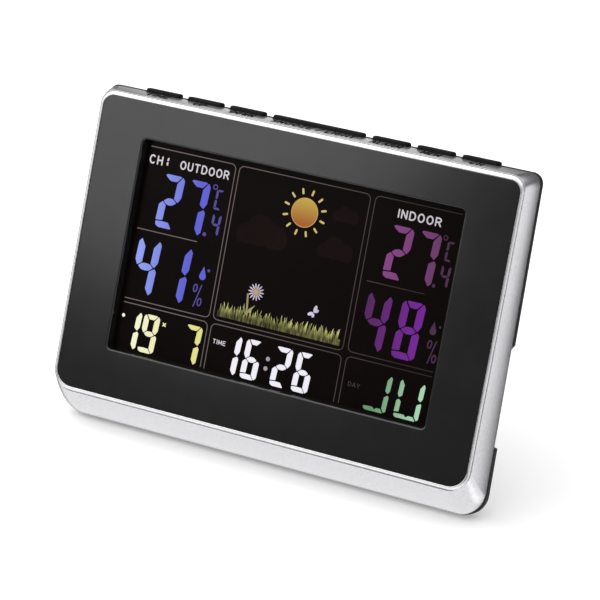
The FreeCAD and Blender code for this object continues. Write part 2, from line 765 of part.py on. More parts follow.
def stand():
    plate = box(-STAND_HALF, STAND_HALF, STAND_AXIS_D - STAND_INNER, STAND_AXIS_D + STAND_OUTER,
                STAND_AXIS_V, STAND_AXIS_V + STAND_LENGTH)
    tip = [edge for edge in plate.Edges
           if edge.BoundBox.ZMin > STAND_AXIS_V + 1 and edge.BoundBox.YLength > 1]
    plate = plate.makeFillet(6.0, tip)
    plate = plate.cut(box(-STAND_HALF - 1, STAND_HALF + 1, STAND_AXIS_D + STAND_ROOT_OUTER,
                          STAND_AXIS_D + STAND_OUTER + 1, STAND_AXIS_V - 1,
                          STAND_AXIS_V + STAND_ROOT_LENGTH))
    barrel = rod_along_x(-STAND_HALF, STAND_HALF, STAND_AXIS_D, STAND_AXIS_V, STAND_BARREL_R)
    body = joined([plate, barrel])
    body = body.cut(rod_along_x(-40, 40, STAND_AXIS_D, STAND_AXIS_V, STAND_BORE_R))
    body = body.cut(pad_rod(PAD_R, STAND_HALF - 7))
    return opened(body)


def stand_hinge_pin():
    return rod_along_x(-STAND_PIN_HALF, STAND_PIN_HALF, STAND_AXIS_D, STAND_AXIS_V, STAND_PIN_R)


def stand_foot_pad():
    return opened(pad_rod(PAD_R, STAND_HALF - 7))


def rubber_feet():
    """Wedges under the lower shoulder of the cover, flat on the table."""
    ground = ground_height()
    size_x, size_y = FOOT_SIZE
    edge_d = COVER_EDGE_D - COVER_EDGE_SLOPE * COVER_SEAM[1]
    front_y = to_world(edge_d, COVER_SEAM[1])[0] + FOOT_SETBACK
    feet = []
    for side in (-1, 1):
        block = Part.makeBox(size_x, size_y, FOOT_BLOCK, vec(side * FOOT_X - size_x / 2, front_y, ground))
        block.rotate(vec(0, 0, 0), vec(1, 0, 0), LEAN_DEG)
        feet.append(block.cut(cover_body(0)))
    return Part.makeCompound(feet)


# ---------------------------------------------------------------- writing

def all_nodes():
    nodes = {
        "front_panel": front_panel(),
        "panel_adhesive": panel_adhesive(),
        "bezel_ring": bezel_ring(),
        "case_frame": case_frame(),
        "back_cover": back_cover(),
        "case_screws": case_screws(),
        "lcd_holder": lcd_holder(),
        "front_polarizer": front_polarizer(),
        "lcd_glass": lcd_glass(),
        "colour_film": colour_film(),
        "light_guide": light_guide(),
        "reflector_sheet": reflector_sheet(),
        "led_strips": led_strips(),
        "zebra_connectors": zebra_connectors(),
        "main_board": main_board(),
        "main_board_parts": main_board_parts(),
        "board_screws": board_screws(),
        "rf_receiver": rf_receiver(),
        "rf_antenna_coil": rf_antenna_coil(),
        "ferrite_rod": ferrite_rod(),
        "ferrite_coil": ferrite_coil(),
        "climate_sensor": climate_sensor(),
        "buzzer": buzzer(),
        "dc_jack": dc_jack(),
        "button_board": button_board(),
        "tact_switches": tact_switches(),
        "battery_springs": battery_springs(),
        "battery_contacts": battery_contacts(),
        "battery_door": battery_door(),
        "stand": stand(),
        "stand_hinge_pin": stand_hinge_pin(),
        "stand_foot_pad": stand_foot_pad(),
        "rubber_feet": rubber_feet(),
    }
    for index in range(len(CELL_V)):
        nodes["battery_%d" % (index + 1)] = battery(index)
    for name, x, width in BUTTONS:
        nodes["button_" + name] = button_cap(x, width)
        nodes["plunger_" + name] = switch_plunger(x)
    return nodes


def main():
    nodes = all_nodes()
    for shape in nodes.values():
        shape.rotate(vec(0, 0, 0), vec(1, 0, 0), -LEAN_DEG)
    boxes = [shape.optimalBoundingBox(False, False) for shape in nodes.values()]
    middle_y = (min(b.YMin for b in boxes) + max(b.YMax for b in boxes)) / 2
    shift = vec(0, -middle_y, -ground_height())
    for name, shape in nodes.items():
        shape.translate(shift)
        shape.exportStep("parts/%s.step" % name)
        state = "valid" if shape.isValid() else "NOT VALID"
        print("%-18s %s %2d solids %9.1f mm3" % (name, state, len(shape.Solids), shape.Volume))
    print("row origin in drawing terms: y %.3f z %.3f" % (middle_y, ground_height()))
    print("stand folds by %.3f degrees" % stand_fold_deg())
    for name, (d, v) in (("stand hinge", (STAND_AXIS_D, STAND_AXIS_V)), ("door hinge", door_axis())):
        y, z = to_world(d, v)
        print("%s at y %.3f z %.3f" % (name, y - middle_y, z - ground_height()))


main()
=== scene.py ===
import json
import math
import random

import bmesh
import bpy
from mathutils import Matrix, Vector


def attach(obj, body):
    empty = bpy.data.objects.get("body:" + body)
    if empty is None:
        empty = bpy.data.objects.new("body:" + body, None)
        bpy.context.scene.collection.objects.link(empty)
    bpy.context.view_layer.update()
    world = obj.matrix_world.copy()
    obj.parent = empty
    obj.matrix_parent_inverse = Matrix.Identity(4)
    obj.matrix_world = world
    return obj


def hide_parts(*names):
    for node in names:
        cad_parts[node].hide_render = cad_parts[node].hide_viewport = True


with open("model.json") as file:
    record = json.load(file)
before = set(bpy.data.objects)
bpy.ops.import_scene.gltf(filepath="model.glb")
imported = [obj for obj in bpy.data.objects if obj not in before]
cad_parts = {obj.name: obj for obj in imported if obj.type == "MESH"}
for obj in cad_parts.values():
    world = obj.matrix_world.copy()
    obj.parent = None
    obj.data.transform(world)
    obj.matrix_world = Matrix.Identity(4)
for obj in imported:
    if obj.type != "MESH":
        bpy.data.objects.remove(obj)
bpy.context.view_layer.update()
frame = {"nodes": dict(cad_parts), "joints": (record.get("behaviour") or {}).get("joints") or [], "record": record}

# Sizes are in millimetres, in the panel's own coordinates:
#   x to the right, d depth behind the panel's face, v height along the panel from its centre.
MM = 0.001

# Outlines: half width, bottom, top, radius of the bottom corners, radius of the top corners
PANEL = (87.0, -56.5, 56.5, 7.0, 4.5)
WINDOW = (67.4, -38.5, 42.6, 1.8, 1.8)
RING = (88.1, -57.7, 58.0, 7.6, 5.4)
CASE_FRONT = (88.5, -58.1, 58.4, 8.6, 5.8)
CASE_SEAM = (90.3, -68.1, 59.9, 10.0, 4.5)
FLANGE_OPENING = (71.5, -43.0, 47.0, 3.0, 3.0)
SMALLEST_RADIUS = 0.2

# Panel
PANEL_BACK_D = 2.0
WINDOW_WALL = 1.5        # thickness of the wall round the window, behind the panel

# Case: it swells from its front edge to the seam with the rear cover, and the seam leans by a slope
CASE_FRONT_D = 0.5
SEAM_D = 12.0
SEAM_SLOPE = 0.0445
BULGE = 1.5
WALL = 2.0
RIM_SEAT_D = 2.45        # floor of the groove that holds the rim
FLANGE_D = (2.5, 4.2)    # front and back of the plate inside the case
BAND_STEPS = 22

# Button caps
BUTTONS = ("time", "up", "down", "snooze", "alarm", "memory", "channel")
BUTTON_FLANGE = 0.8      # how far the hidden foot of a cap reaches out round it
BUTTON_GAP = 0.15        # between a cap and its opening
BUTTON_CORNER = 1.2
# The top of a cap: distance in from its side, and below its highest point
BUTTON_CROWN = ((0.0, 1.4), (0.03, 0.9), (0.12, 0.5), (0.35, 0.2), (0.75, 0.06), (1.2, 0.01))

# Words in front of the buttons
LABELS = {"time": "TIME", "up": "UP", "down": "DOWN", "snooze": "SNOOZE / LIGHT", "alarm": "ALARM",
          "memory": "MEM", "channel": "CH"}
LABEL_PITCH = 2.5        # width of a word for each of its letters
LABEL_WEIGHT = 0.2       # stroke, as a share of the letters' height
LABEL_D = (2.3, 6.5)     # depth of the foot and of the top of the letters
LABEL_RISE = 0.05        # above the case

# Display: its drawing is thin plates, and a nearer layer lies over the others
PLATE = 0.02
NEARER = -0.03
SLANT = 0.055            # how far the figures lean, for each unit of height
LARGE_GAP = 0.16         # between the segments of a figure
MIDDLE_GAP = 0.13
SMALL_GAP = 0.08
DAY_GAP = 0.3
LETTER_STROKE = 0.165    # as a share of the letters' height
LETTER_SPACE = 0.36      # between two letters, where a letter is 1 high
LINE_WIDTH = 0.34
LINE_CORNER = 2.0

# CAD nodes that show on the outside, and the small bevel on their edges
OUTER_NODES = ("back_cover", "battery_door", "stand", "rubber_feet", "dc_jack")
EDGE_BEVEL = 0.25
EDGE_ANGLE = 32

# Camera: the point (x, v) it aims at, and where it stands from there, in the panel's directions
AIM = (9.3, -3.2)
CAMERA_DISTANCE = 1092.4
CAMERA_AZIMUTH = 25.37
CAMERA_ELEVATION = 6.615
CAMERA_ROLL = 10.42
CAMERA_LENS = 177.8

# Studio, in metres and degrees; azimuth 0 is towards the viewer, 90 to the right and 180 behind
FLOOR_SIZE = 60.0
FLOOR_GLOW = 0.25
ROOM_LEVEL = 0.12
# Pale and dark patches of the surroundings: azimuth, elevation, inner and outer radius, amount
ROOM_PATCHES = (
    (0, 90, 25, 65, 1.3),
    (-18, -71, 39, 73, 1.03),
    (114, -20, 24, 43, 1.12),
    (-106, 8, 24, 40, 1.0),
    (62, 5, 15, 40, 0.6),
)
DARK_PATCH = (170, 2, 34, 46, 0.93)
# A pale card: left and right edges from straight behind, bottom, top, softness, amount
CARD = (-29.2, -22.2, -13.0, 16.0, 1.2, 0.72)
# Name, azimuth, elevation, distance, width and height, brightness
SOFTBOXES = (
    ("key_softbox", -49, 33, 1.6, (1.54, 1.29), 1.58),
    ("top_softbox", -103, 65, 1.6, (0.9, 0.7), 1.1),
)
SOFTBOX_AIM = Vector((0, 0, 0.06))


# -------------------- the panel's own coordinates

def panel_extent(node, direction):
    """Lowest and highest reach of a CAD node along a direction, in metres."""
    values = [vertex.co.dot(direction) for vertex in frame["nodes"][node].data.vertices]
    return min(values), max(values)


press_axis = next(joint["axis"] for joint in frame["joints"] if joint["name"] == "press_snooze")
UP = -Vector(press_axis).normalized()
RIGHT = Vector((1.0, 0.0, 0.0))
BACK = UP.cross(RIGHT)
ORIGIN = BACK * panel_extent("front_panel", BACK)[0] + UP * sum(panel_extent("front_panel", UP)) / 2


def place(x, d, v):
    """A point of the panel's coordinates, in metres in the frame."""
    return ORIGIN + (RIGHT * x + BACK * d + UP * v) * MM


def depth_of(node):
    """Front and back depth of a CAD node, in millimetres."""
    low, high = panel_extent(node, BACK)
    zero = ORIGIN.dot(BACK)
    return (low - zero) / MM, (high - zero) / MM


def span_of(node):
    """Left, right, bottom and top of a CAD node along the panel, in millimetres."""
    left, right = panel_extent(node, RIGHT)
    bottom, top = panel_extent(node, UP)
    zero = ORIGIN.dot(UP)
    return left / MM, right / MM, (bottom - zero) / MM, (top - zero) / MM


# Depths of the display's face and of the drawing on it
DISPLAY_D = depth_of("front_polarizer")[0]
PRINT_D = DISPLAY_D - 0.03


# -------------------- mesh helpers

def grown(outline, by):
    """An outline moved outwards all round."""
    half, bottom, top, r_bottom, r_top = outline
    return (half + by, bottom - by, top + by,
            max(r_bottom + by, SMALLEST_RADIUS), max(r_top + by, SMALLEST_RADIUS))


def between(start, end, share):
    """An outline part of the way from one to another."""
    return tuple(a + (b - a) * share for a, b in zip(start, end))


def outline_points(outline, corner_steps=10, side_steps=6):
    """Points (x, v) round a rounded rectangle, anticlockwise from the lower right corner."""
    half, bottom, top, r_bottom, r_top = outline
    corners = (
        (half, bottom, r_bottom, -90),
        (half, top, r_top, 0),
        (-half, top, r_top, 90),
        (-half, bottom, r_bottom, 180),
    )
    bends = []
    for x, v, radius, start in corners:
        centre = Vector((x - math.copysign(radius, x), v - math.copysign(radius, v)))
        bend = []
        for step in range(corner_steps + 1):
            angle = math.radians(start + 90 * step / corner_steps)
            bend.append(centre + radius * Vector((math.cos(angle), math.sin(angle))))
        bends.append(bend)
    points = []
    for index, bend in enumerate(bends):
        points += bend
        following = bends[(index + 1) % 4][0]
        for step in range(1, side_steps):
            points.append(bend[-1].lerp(following, step / side_steps))
    return points


def outline_loop(outline, depth, slope=0.0):
    """An outline as points in the frame, leaning back towards its bottom by the slope."""
    return [place(p.x, depth - slope * p.y, p.y) for p in outline_points(outline)]


def bridge(loops, closed):
    """Vertices and faces of a surface through loops that all have the same number of points."""
    count = len(loops[0])
    verts = [point for loop in loops for point in loop]
    faces = []
    strips = len(loops) if closed else len(loops) - 1
    for row in range(strips):
        start = row * count
        end = (row + 1) % len(loops) * count
        for index in range(count):
            beside = (index + 1) % count
            faces.append((start + index, start + beside, end + beside, end + index))
    if not closed:
        faces.append(tuple(range(count)))
        faces.append(tuple(range(strips * count, (strips + 1) * count)))
    return verts, faces


def plates(polygons, front, back):
    """Thin closed plates, one for each polygon; front and back place a point on their two sides."""
    verts, faces = [], []
    for polygon in polygons:
        base = len(verts)
        count = len(polygon)
        verts += [front(*point) for point in polygon]
        verts += [back(*point) for point in polygon]
        faces.append(tuple(range(base, base + count)))
        faces.append(tuple(range(base + 2 * count - 1, base + count - 1, -1)))
        for index in range(count):
            beside = (index + 1) % count
            faces.append((base + index, base + beside, base + count + beside, base + count + index))
    return verts, faces


def piece_from(name, shape, material, body, sharp=35.0, stands_for=(), weighted=True):
    """A visible piece with the given vertices and faces, riding on a body."""
    verts, faces = shape
    mesh = bpy.data.meshes.new(name)
    mesh.from_pydata([tuple(v) for v in verts], [], faces)
    mesh.validate()
    edit = bmesh.new()
    edit.from_mesh(mesh)
    bmesh.ops.recalc_face_normals(edit, faces=edit.faces)
    edit.to_mesh(mesh)
    edit.free()
    mesh.polygons.foreach_set("use_smooth", [True] * len(mesh.polygons))
    mesh.set_sharp_from_angle(angle=math.radians(sharp))
    obj = bpy.data.objects.new(name, mesh)
    bpy.context.scene.collection.objects.link(obj)
    mesh.materials.append(material)
    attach(obj, body)
    if stands_for:
        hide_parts(*stands_for)
    if weighted:
        flatten_shading(obj)
    return obj


def flatten_shading(obj):
    """Keeps large flat faces looking flat beside their rounded edges."""
    modifier = obj.modifiers.new("shading", "WEIGHTED_NORMAL")
    modifier.keep_sharp = True
    modifier.weight = 100
    modifier.mode = "FACE_AREA"


# -------------------- materials

def new_material(name):
    """A material, its node tree and its shader."""
    material = bpy.data.materials.new(name)
    material.use_nodes = True
    tree = material.node_tree
    return material, tree, tree.nodes["Principled BSDF"]


def position_of(tree):
    """The place on the object, in metres in the frame."""
    return tree.nodes.new("ShaderNodeTexCoord").outputs["Object"]


def noise(tree, scale, detail=3.0, position=None):
    """Cloudy values from 0 to 1; the scale is in lumps for each metre."""
    node = tree.nodes.new("ShaderNodeTexNoise")
    node.inputs["Scale"].default_value = scale
    node.inputs["Detail"].default_value = detail
    tree.links.new(position or position_of(tree), node.inputs["Vector"])
    return node.outputs["Fac"]


def ramp(tree, value, stops):
    """Colours along a value, from pairs of a position and a colour."""
    node = tree.nodes.new("ShaderNodeValToRGB")
    elements = node.color_ramp.elements
    while len(elements) < len(stops):
        elements.new(0.5)
    for element, (position, colour) in zip(elements, stops):
        element.position = position
        element.color = (*colour, 1.0)
    tree.links.new(value, node.inputs["Fac"])
    return node.outputs["Color"]


def spread(tree, value, low, high, from_low=0.3, from_high=0.7):
    """Stretches a value onto the range from low to high."""
    node = tree.nodes.new("ShaderNodeMapRange")
    node.inputs["From Min"].default_value = from_low
    node.inputs["From Max"].default_value = from_high
    node.inputs["To Min"].default_value = low
    node.inputs["To Max"].default_value = high
    tree.links.new(value, node.inputs["Value"])
    return node.outputs["Result"]


def share_along(tree, axis, low, high):
    """0 at one place along an axis and 1 at another, both in metres."""
    split = tree.nodes.new("ShaderNodeSeparateXYZ")
    tree.links.new(position_of(tree), split.inputs["Vector"])
    return spread(tree, split.outputs[axis], 0.0, 1.0, low, high)


def bump(tree, shader, height, strength, distance):
    """A fine surface relief; the distance is its depth in metres."""
    node = tree.nodes.new("ShaderNodeBump")
    node.inputs["Strength"].default_value = strength
    node.inputs["Distance"].default_value = distance
    tree.links.new(height, node.inputs["Height"])
    tree.links.new(node.outputs["Normal"], shader.inputs["Normal"])


def plastic(name, colour, shade, roughness, grain_scale, grain, coat=0.0, specular=0.5):
    """Moulded or painted plastic: slight colour drift, uneven gloss and a fine surface grain."""
    material, tree, shader = new_material(name)
    light = tuple(min(1.0, c * (1 + shade)) for c in colour)
    dark = tuple(c * (1 - shade) for c in colour)
    drift = ramp(tree, noise(tree, 60), [(0.35, dark), (0.65, light)])
    gloss = spread(tree, noise(tree, 140), roughness * 0.88, roughness * 1.12)
    tree.links.new(drift, shader.inputs["Base Color"])
    tree.links.new(gloss, shader.inputs["Roughness"])
    shader.inputs["Specular IOR Level"].default_value = specular
    shader.inputs["Coat Weight"].default_value = coat
    shader.inputs["Coat Roughness"].default_value = 0.12
    bump(tree, shader, noise(tree, grain_scale, 2.0), grain, 0.00005)
    return material


def silver_paint():
    """Satin silver paint: fine bright flakes in a grey lacquer."""
    material, tree, shader = new_material("silver_case_paint")
    flakes = tree.nodes.new("ShaderNodeTexVoronoi")
    flakes.inputs["Scale"].default_value = 5000.0
    tree.links.new(position_of(tree), flakes.inputs["Vector"])
    colour = ramp(tree, flakes.outputs["Color"], [(0.0, (0.52, 0.52, 0.545)), (1.0, (0.74, 0.74, 0.76))])
    tree.links.new(colour, shader.inputs["Base Color"])
    tree.links.new(spread(tree, noise(tree, 90), 0.19, 0.24), shader.inputs["Roughness"])
    shader.inputs["Metallic"].default_value = 0.8
    shader.inputs["Coat Weight"].default_value = 0.35
    shader.inputs["Coat Roughness"].default_value = 0.1
    bump(tree, shader, noise(tree, 3000, 2.0), 0.12, 0.00003)
    return material


def metal(name, colour, roughness):
    """Plated metal with fine scratches."""
    material, tree, shader = new_material(name)
    scratches = 900
    dull = tuple(c * 0.9 for c in colour)
    drift = ramp(tree, noise(tree, 300), [(0.3, dull), (0.7, colour)])
    gloss = spread(tree, noise(tree, scratches), roughness * 0.8, roughness * 1.2)
    tree.links.new(drift, shader.inputs["Base Color"])
    tree.links.new(gloss, shader.inputs["Roughness"])
    shader.inputs["Metallic"].default_value = 1.0
    bump(tree, shader, noise(tree, scratches, 2.0), 0.06, 0.00002)
    return material


def srgb(red, green, blue):
    """Display values from 0 to 255 as linear colour."""
    out = []
    for value in (red, green, blue):
        share = value / 255
        out.append(share / 12.92 if share <= 0.04045 else ((share + 0.055) / 1.055) ** 2.4)
    return tuple(out)


def shine(tree, shader, colour):
    """Makes a surface glow in a colour, on dark glass that hardly reflects."""
    tree.links.new(colour, shader.inputs["Emission Color"])
    shader.inputs["Emission Strength"].default_value = 1.0
    shader.inputs["Base Color"].default_value = (0.004, 0.003, 0.003, 1)
    shader.inputs["Specular IOR Level"].default_value = 0.05
    shader.inputs["Roughness"].default_value = 0.3


def lit(name, left, right, x_left, x_right):
    """A lit part of the display, whose colour drifts from left to right."""
    material, tree, shader = new_material(name)
    share = share_along(tree, "X", x_left * MM, x_right * MM)
    shine(tree, shader, ramp(tree, share, [(0.0, srgb(*left)), (1.0, srgb(*right))]))
    return material


def sun_glow(bottom, top):
    """Orange at the bottom and yellow at the top."""
    material, tree, shader = new_material("sun_glow")
    share = share_along(tree, "Z", place(0, 0, bottom).z, place(0, 0, top).z)
    stops = [(0.0, srgb(162, 98, 44)), (0.35, srgb(176, 130, 62)), (1.0, srgb(196, 176, 78))]
    shine(tree, shader, ramp(tree, share, stops))
    return material


def grass_glow(name, base, level):
    """Olive at the root and pale at the tips, in uneven upright streaks."""
    material, tree, shader = new_material(name)
    tallest = 5.2
    share = share_along(tree, "Z", place(0, 0, base).z, place(0, 0, base + tallest).z)
    tones = [(0.0, srgb(92, 90, 58)), (0.4, srgb(146, 148, 86)), (1.0, srgb(222, 218, 168))]
    stretch = tree.nodes.new("ShaderNodeMapping")
    stretch.inputs["Scale"].default_value = (1.0, 0.2, 0.2)
    tree.links.new(position_of(tree), stretch.inputs["Vector"])
    streaks = noise(tree, 1300.0, 2.0, stretch.outputs["Vector"])
    shades = [(0.36, (0.28, 0.3, 0.24)), (0.52, (0.95, 0.95, 0.86)), (0.64, (1.75, 1.7, 1.6))]
    mix = tree.nodes.new("ShaderNodeMix")
    mix.data_type = "RGBA"
    mix.blend_type = "MULTIPLY"
    mix.inputs["Factor"].default_value = 1.0
    colour = ramp(tree, share, [(at, tuple(level * c for c in tone)) for at, tone in tones])
    tree.links.new(colour, mix.inputs["A"])
    tree.links.new(ramp(tree, streaks, shades), mix.inputs["B"])
    shine(tree, shader, mix.outputs["Result"])
    return material


# One material for each material slot of the CAD nodes
MATERIALS = {
    "black_panel": plastic("panel_lacquer", (0.008, 0.008, 0.0085), 0.1, 0.16, 1500, 0.02, coat=0.3),
    "silver_rim": metal("rim_plating", (0.88, 0.88, 0.89), 0.28),
    "silver_case": silver_paint(),
    "black_plastic": plastic("black_moulding", (0.014, 0.014, 0.015), 0.12, 0.5, 4000, 0.5),
    "button_black": plastic("button_moulding", (0.008, 0.007, 0.0065), 0.12, 0.45, 2500, 0.12,
                            specular=0.09),
    "rubber": plastic("rubber_moulding", (0.012, 0.012, 0.012), 0.2, 0.8, 3000, 0.35),
    "steel": metal("zinc_plating", (0.6, 0.61, 0.63), 0.35),
    "contact_metal": metal("nickel_plating", (0.72, 0.71, 0.68), 0.25),
    "copper": metal("enamelled_wire", (0.7, 0.3, 0.12), 0.3),
    "white_plastic": plastic("white_moulding", (0.8, 0.8, 0.78), 0.04, 0.45, 2500, 0.2),
    "light_guide": plastic("acrylic_sheet", (0.85, 0.86, 0.87), 0.03, 0.1, 800, 0.02),
    "circuit_board": plastic("solder_mask", (0.012, 0.11, 0.035), 0.25, 0.35, 1200, 0.3),
    "component_black": plastic("component_epoxy", (0.015, 0.015, 0.015), 0.2, 0.5, 2500, 0.3),
    "ferrite": plastic("sintered_ferrite", (0.04, 0.04, 0.043), 0.2, 0.6, 2000, 0.5),
    "adhesive": plastic("foam_tape", (0.05, 0.05, 0.05), 0.2, 0.9, 2500, 0.6),
    "cell_sleeve": plastic("cell_label", (0.03, 0.14, 0.35), 0.1, 0.25, 600, 0.03, coat=0.4),
    "tinted_film": plastic("tinted_sheet", (0.2, 0.1, 0.3), 0.2, 0.3, 600, 0.02),
    "display_glass": plastic("dark_glass", (0.01, 0.008, 0.008), 0.1, 0.08, 500, 0.01),
    "display_film": plastic("polarizing_film", (0.0035, 0.0016, 0.0014), 0.15, 0.3, 500, 0.01,
                            specular=0.05),
}


# -------------------- front panel, rim and case

def panel_piece():
    """The panel with its soft edges and the wall round the window, as deep as the display."""
    back = DISPLAY_D - 0.02
    window = ((0.0, back), (0.0, 0.7), (0.06, 0.4), (0.2, 0.17), (0.4, 0.04), (0.7, 0.0))
    rim = ((-0.3, 0.0), (-0.1, 0.05), (0.0, 0.2), (0.0, PANEL_BACK_D))
    wall = ((WINDOW_WALL, PANEL_BACK_D), (WINDOW_WALL, back))
    loops = [outline_loop(grown(WINDOW, by), depth) for by, depth in window]
    loops += [outline_loop(grown(PANEL, by), depth) for by, depth in rim]
    loops += [outline_loop(grown(WINDOW, by), depth) for by, depth in wall]
    piece_from("panel", bridge(loops, True), MATERIALS["black_panel"], "case",
               stands_for=["front_panel"])


def rim_piece():
    """The bright trim; its profile is the share of its width from the inside, and the depth."""
    inner = grown(PANEL, 0.03)
    profile = ((0.0, 2.4), (0.0, -0.1), (0.03, -0.2), (0.1, -0.27), (0.2, -0.29), (0.35, -0.25),
               (0.55, -0.12), (0.75, 0.05), (0.92, 0.24), (0.99, 0.36), (1.0, 0.5), (1.0, 2.4))
    loops = [outline_loop(between(inner, RING, share), depth) for share, depth in profile]
    piece_from("rim", bridge(loops, True), MATERIALS["silver_rim"], "case", sharp=50,
               stands_for=["bezel_ring"])


def band_outline(share, inset=0.0):
    """The case's outline part of the way from its front edge to the seam."""
    swell = 1 - (1 - share) ** BULGE
    return grown(between(CASE_FRONT, CASE_SEAM, swell), -inset)


def band_loop(share, inset=0.0):
    """That outline at its own depth, and leaning more and more towards the seam."""
    depth = CASE_FRONT_D + (SEAM_D - CASE_FRONT_D) * share
    return outline_loop(band_outline(share, inset), depth, SEAM_SLOPE * share)


def case_piece():
    """The silver case: groove for the rim, front edge, swelling band, inner wall and inner plate."""
    groove = grown(RING, 0.01)
    edge = band_outline(0.02)
    loops = [
        outline_loop(groove, RIM_SEAT_D),
        outline_loop(groove, 0.75),
        outline_loop(grown(groove, 0.03), 0.56),
        outline_loop(between(groove, edge, 0.6), 0.52),
        outline_loop(grown(edge, -0.04), 0.6),
    ]
    loops += [band_loop(0.03 + 0.95 * step / BAND_STEPS) for step in range(BAND_STEPS + 1)]
    loops += [
        band_loop(0.995, 0.12),
        band_loop(1.0, 0.35),
        band_loop(1.0, WALL),
        band_loop(0.42, WALL),
        outline_loop(FLANGE_OPENING, FLANGE_D[1]),
        outline_loop(FLANGE_OPENING, FLANGE_D[0]),
    ]
    case = piece_from("silver_case", bridge(loops, True), MATERIALS["silver_case"], "case",
                      stands_for=["case_frame"])
    cut_button_openings(case)


def cap_edges(name, margin=0.0):
    """Left, right, near and far edges of a cap above its foot, with a margin outside them."""
    left, right, _, _ = span_of("button_" + name)
    near, far = depth_of("button_" + name)
    inset = BUTTON_FLANGE - margin
    return left + inset, right - inset, near + inset, far - inset


# Corners of a box's sides, its lower four corners first
BOX_FACES = ((3, 2, 1, 0), (4, 5, 6, 7), (0, 1, 5, 4), (1, 2, 6, 5), (2, 3, 7, 6), (3, 0, 4, 7))


def cut_button_openings(target):
    """Cuts an opening for every button out of the top of the case."""
    inside = 50
    verts, faces = [], []
    for name in BUTTONS:
        left, right, near, far = cap_edges(name, BUTTON_GAP)
        above = span_of("button_" + name)[3] + 2
        base = len(verts)
        corners = ((left, near), (right, near), (right, far), (left, far))
        verts += [place(x, d, v) for v in (inside, above) for x, d in corners]
        faces += [tuple(base + i for i in face) for face in BOX_FACES]
    mesh = bpy.data.meshes.new("openings")
    mesh.from_pydata([tuple(v) for v in verts], [], faces)
    cutter = bpy.data.objects.new("openings", mesh)
    bpy.context.scene.collection.objects.link(cutter)
    apply_boolean(target, cutter)
    bpy.data.objects.remove(cutter)


def apply_boolean(target, cutter):
    """Takes the cutter away from the target for good."""
    modifier = target.modifiers.new("cut", "BOOLEAN")
    modifier.object = cutter
    modifier.operation = "DIFFERENCE"
    modifier.solver = "EXACT"
    bpy.context.view_layer.update()
    graph = bpy.context.evaluated_depsgraph_get()
    result = bpy.data.meshes.new_from_object(target.evaluated_get(graph))
    target.modifiers.remove(modifier)
    old = target.data
    target.data = result
    bpy.data.meshes.remove(old)


# -------------------- buttons

def button_piece(name):
    """A cap with a softly crowned top and rounded ends."""
    left, right, near, far = cap_edges(name)
    bottom, top = span_of("button_" + name)[2:]
    centre_x, centre_d = (left + right) / 2, (near + far) / 2
    half_x, half_d = (right - left) / 2, (far - near) / 2

    def loop(inset, height):
        """The cap's outline, inset all round, at a height."""
        radius = max(BUTTON_CORNER - inset, 0.25)
        points = outline_points((half_x - inset, -half_d + inset, half_d - inset, radius, radius), 6, 4)
        return [place(centre_x + p.x, centre_d + p.y, height) for p in points]

    loops = [loop(0.0, bottom)] + [loop(inset, top - drop) for inset, drop in BUTTON_CROWN]
    piece_from("cap_" + name, bridge(loops, False), MATERIALS["button_black"], "key_" + name,
               stands_for=["button_" + name])


# -------------------- flat shapes, as polygons of (x, v) points

def disc(x, v, radius, steps):
    """A round polygon."""
    angles = [2 * math.pi * step / steps for step in range(steps)]
    return [(x + radius * math.cos(a), v + radius * math.sin(a)) for a in angles]


def ring_strokes(x, v, radius, width, steps=16):
    """A thin ring, as a list of quads."""
    points = disc(x, v, radius, steps)
    return ribbon(points + points[:1], width)


def arc(x, y, radius_x, radius_y, start, end, steps=10):
    """Points along part of an ellipse, between two angles in degrees."""
    points = []
    for step in range(steps + 1):
        angle = math.radians(start + (end - start) * step / steps)
        points.append((x + radius_x * math.cos(angle), y + radius_y * math.sin(angle)))
    return points


def bar(start, end, width, steps=6):
    """A straight stroke with round ends."""
    along = Vector(end) - Vector(start)
    angle = math.atan2(along.y, along.x)
    points = []
    for centre, turn in ((end, -90), (start, 90)):
        for step in range(steps + 1):
            a = angle + math.radians(turn + 180 * step / steps)
            points.append((centre[0] + width / 2 * math.cos(a), centre[1] + width / 2 * math.sin(a)))
    return points


def ribbon(points, width):
    """Quads along a line of points."""
    quads = []
    for start, end in zip(points, points[1:]):
        a, b = Vector(start), Vector(end)
        along = (b - a).normalized()
        side = Vector((-along.y, along.x)) * width / 2
        stretch = along * width * 0.12
        quads.append([tuple(p) for p in (a - stretch + side, a - stretch - side, b + stretch - side,
                                         b + stretch + side)])
    return quads


def rounded_path(points, radius):
    """The points of an open path with its inner corners rounded."""
    steps = 5
    path = [points[0]]
    for before, corner, after in zip(points, points[1:], points[2:]):
        c = Vector(corner)
        first = (Vector(before) - c).normalized() * radius
        second = (Vector(after) - c).normalized() * radius
        for step in range(steps + 1):
            angle = math.pi / 2 * step / steps
            path.append(tuple(c + first * (1 - math.sin(angle)) + second * (1 - math.cos(angle))))
    path.append(points[-1])
    return path


def softened(polygon, radius):
    """The polygon with its corners rounded off."""
    points = []
    count = len(polygon)
    for index in range(count):
        corner = Vector(polygon[index])
        to_last = Vector(polygon[index - 1]) - corner
        to_next = Vector(polygon[(index + 1) % count]) - corner
        first = corner + to_last.normalized() * min(radius, to_last.length * 0.4)
        second = corner + to_next.normalized() * min(radius, to_next.length * 0.4)
        for share in (0.0, 0.33, 0.67, 1.0):
            points.append(tuple(first.lerp(corner, share).lerp(corner.lerp(second, share), share)))
    return points


def petal_shape(x, v, angle, length, width):
    """An oval whose long axis points along the angle."""
    steps = 14
    shape = []
    for step in range(steps):
        turn = 2 * math.pi * step / steps
        along, across = length / 2 * math.cos(turn), width / 2 * math.sin(turn)
        shape.append((x + along * math.cos(angle) - across * math.sin(angle),
                      v + along * math.sin(angle) + across * math.cos(angle)))
    return shape


# -------------------- lettering

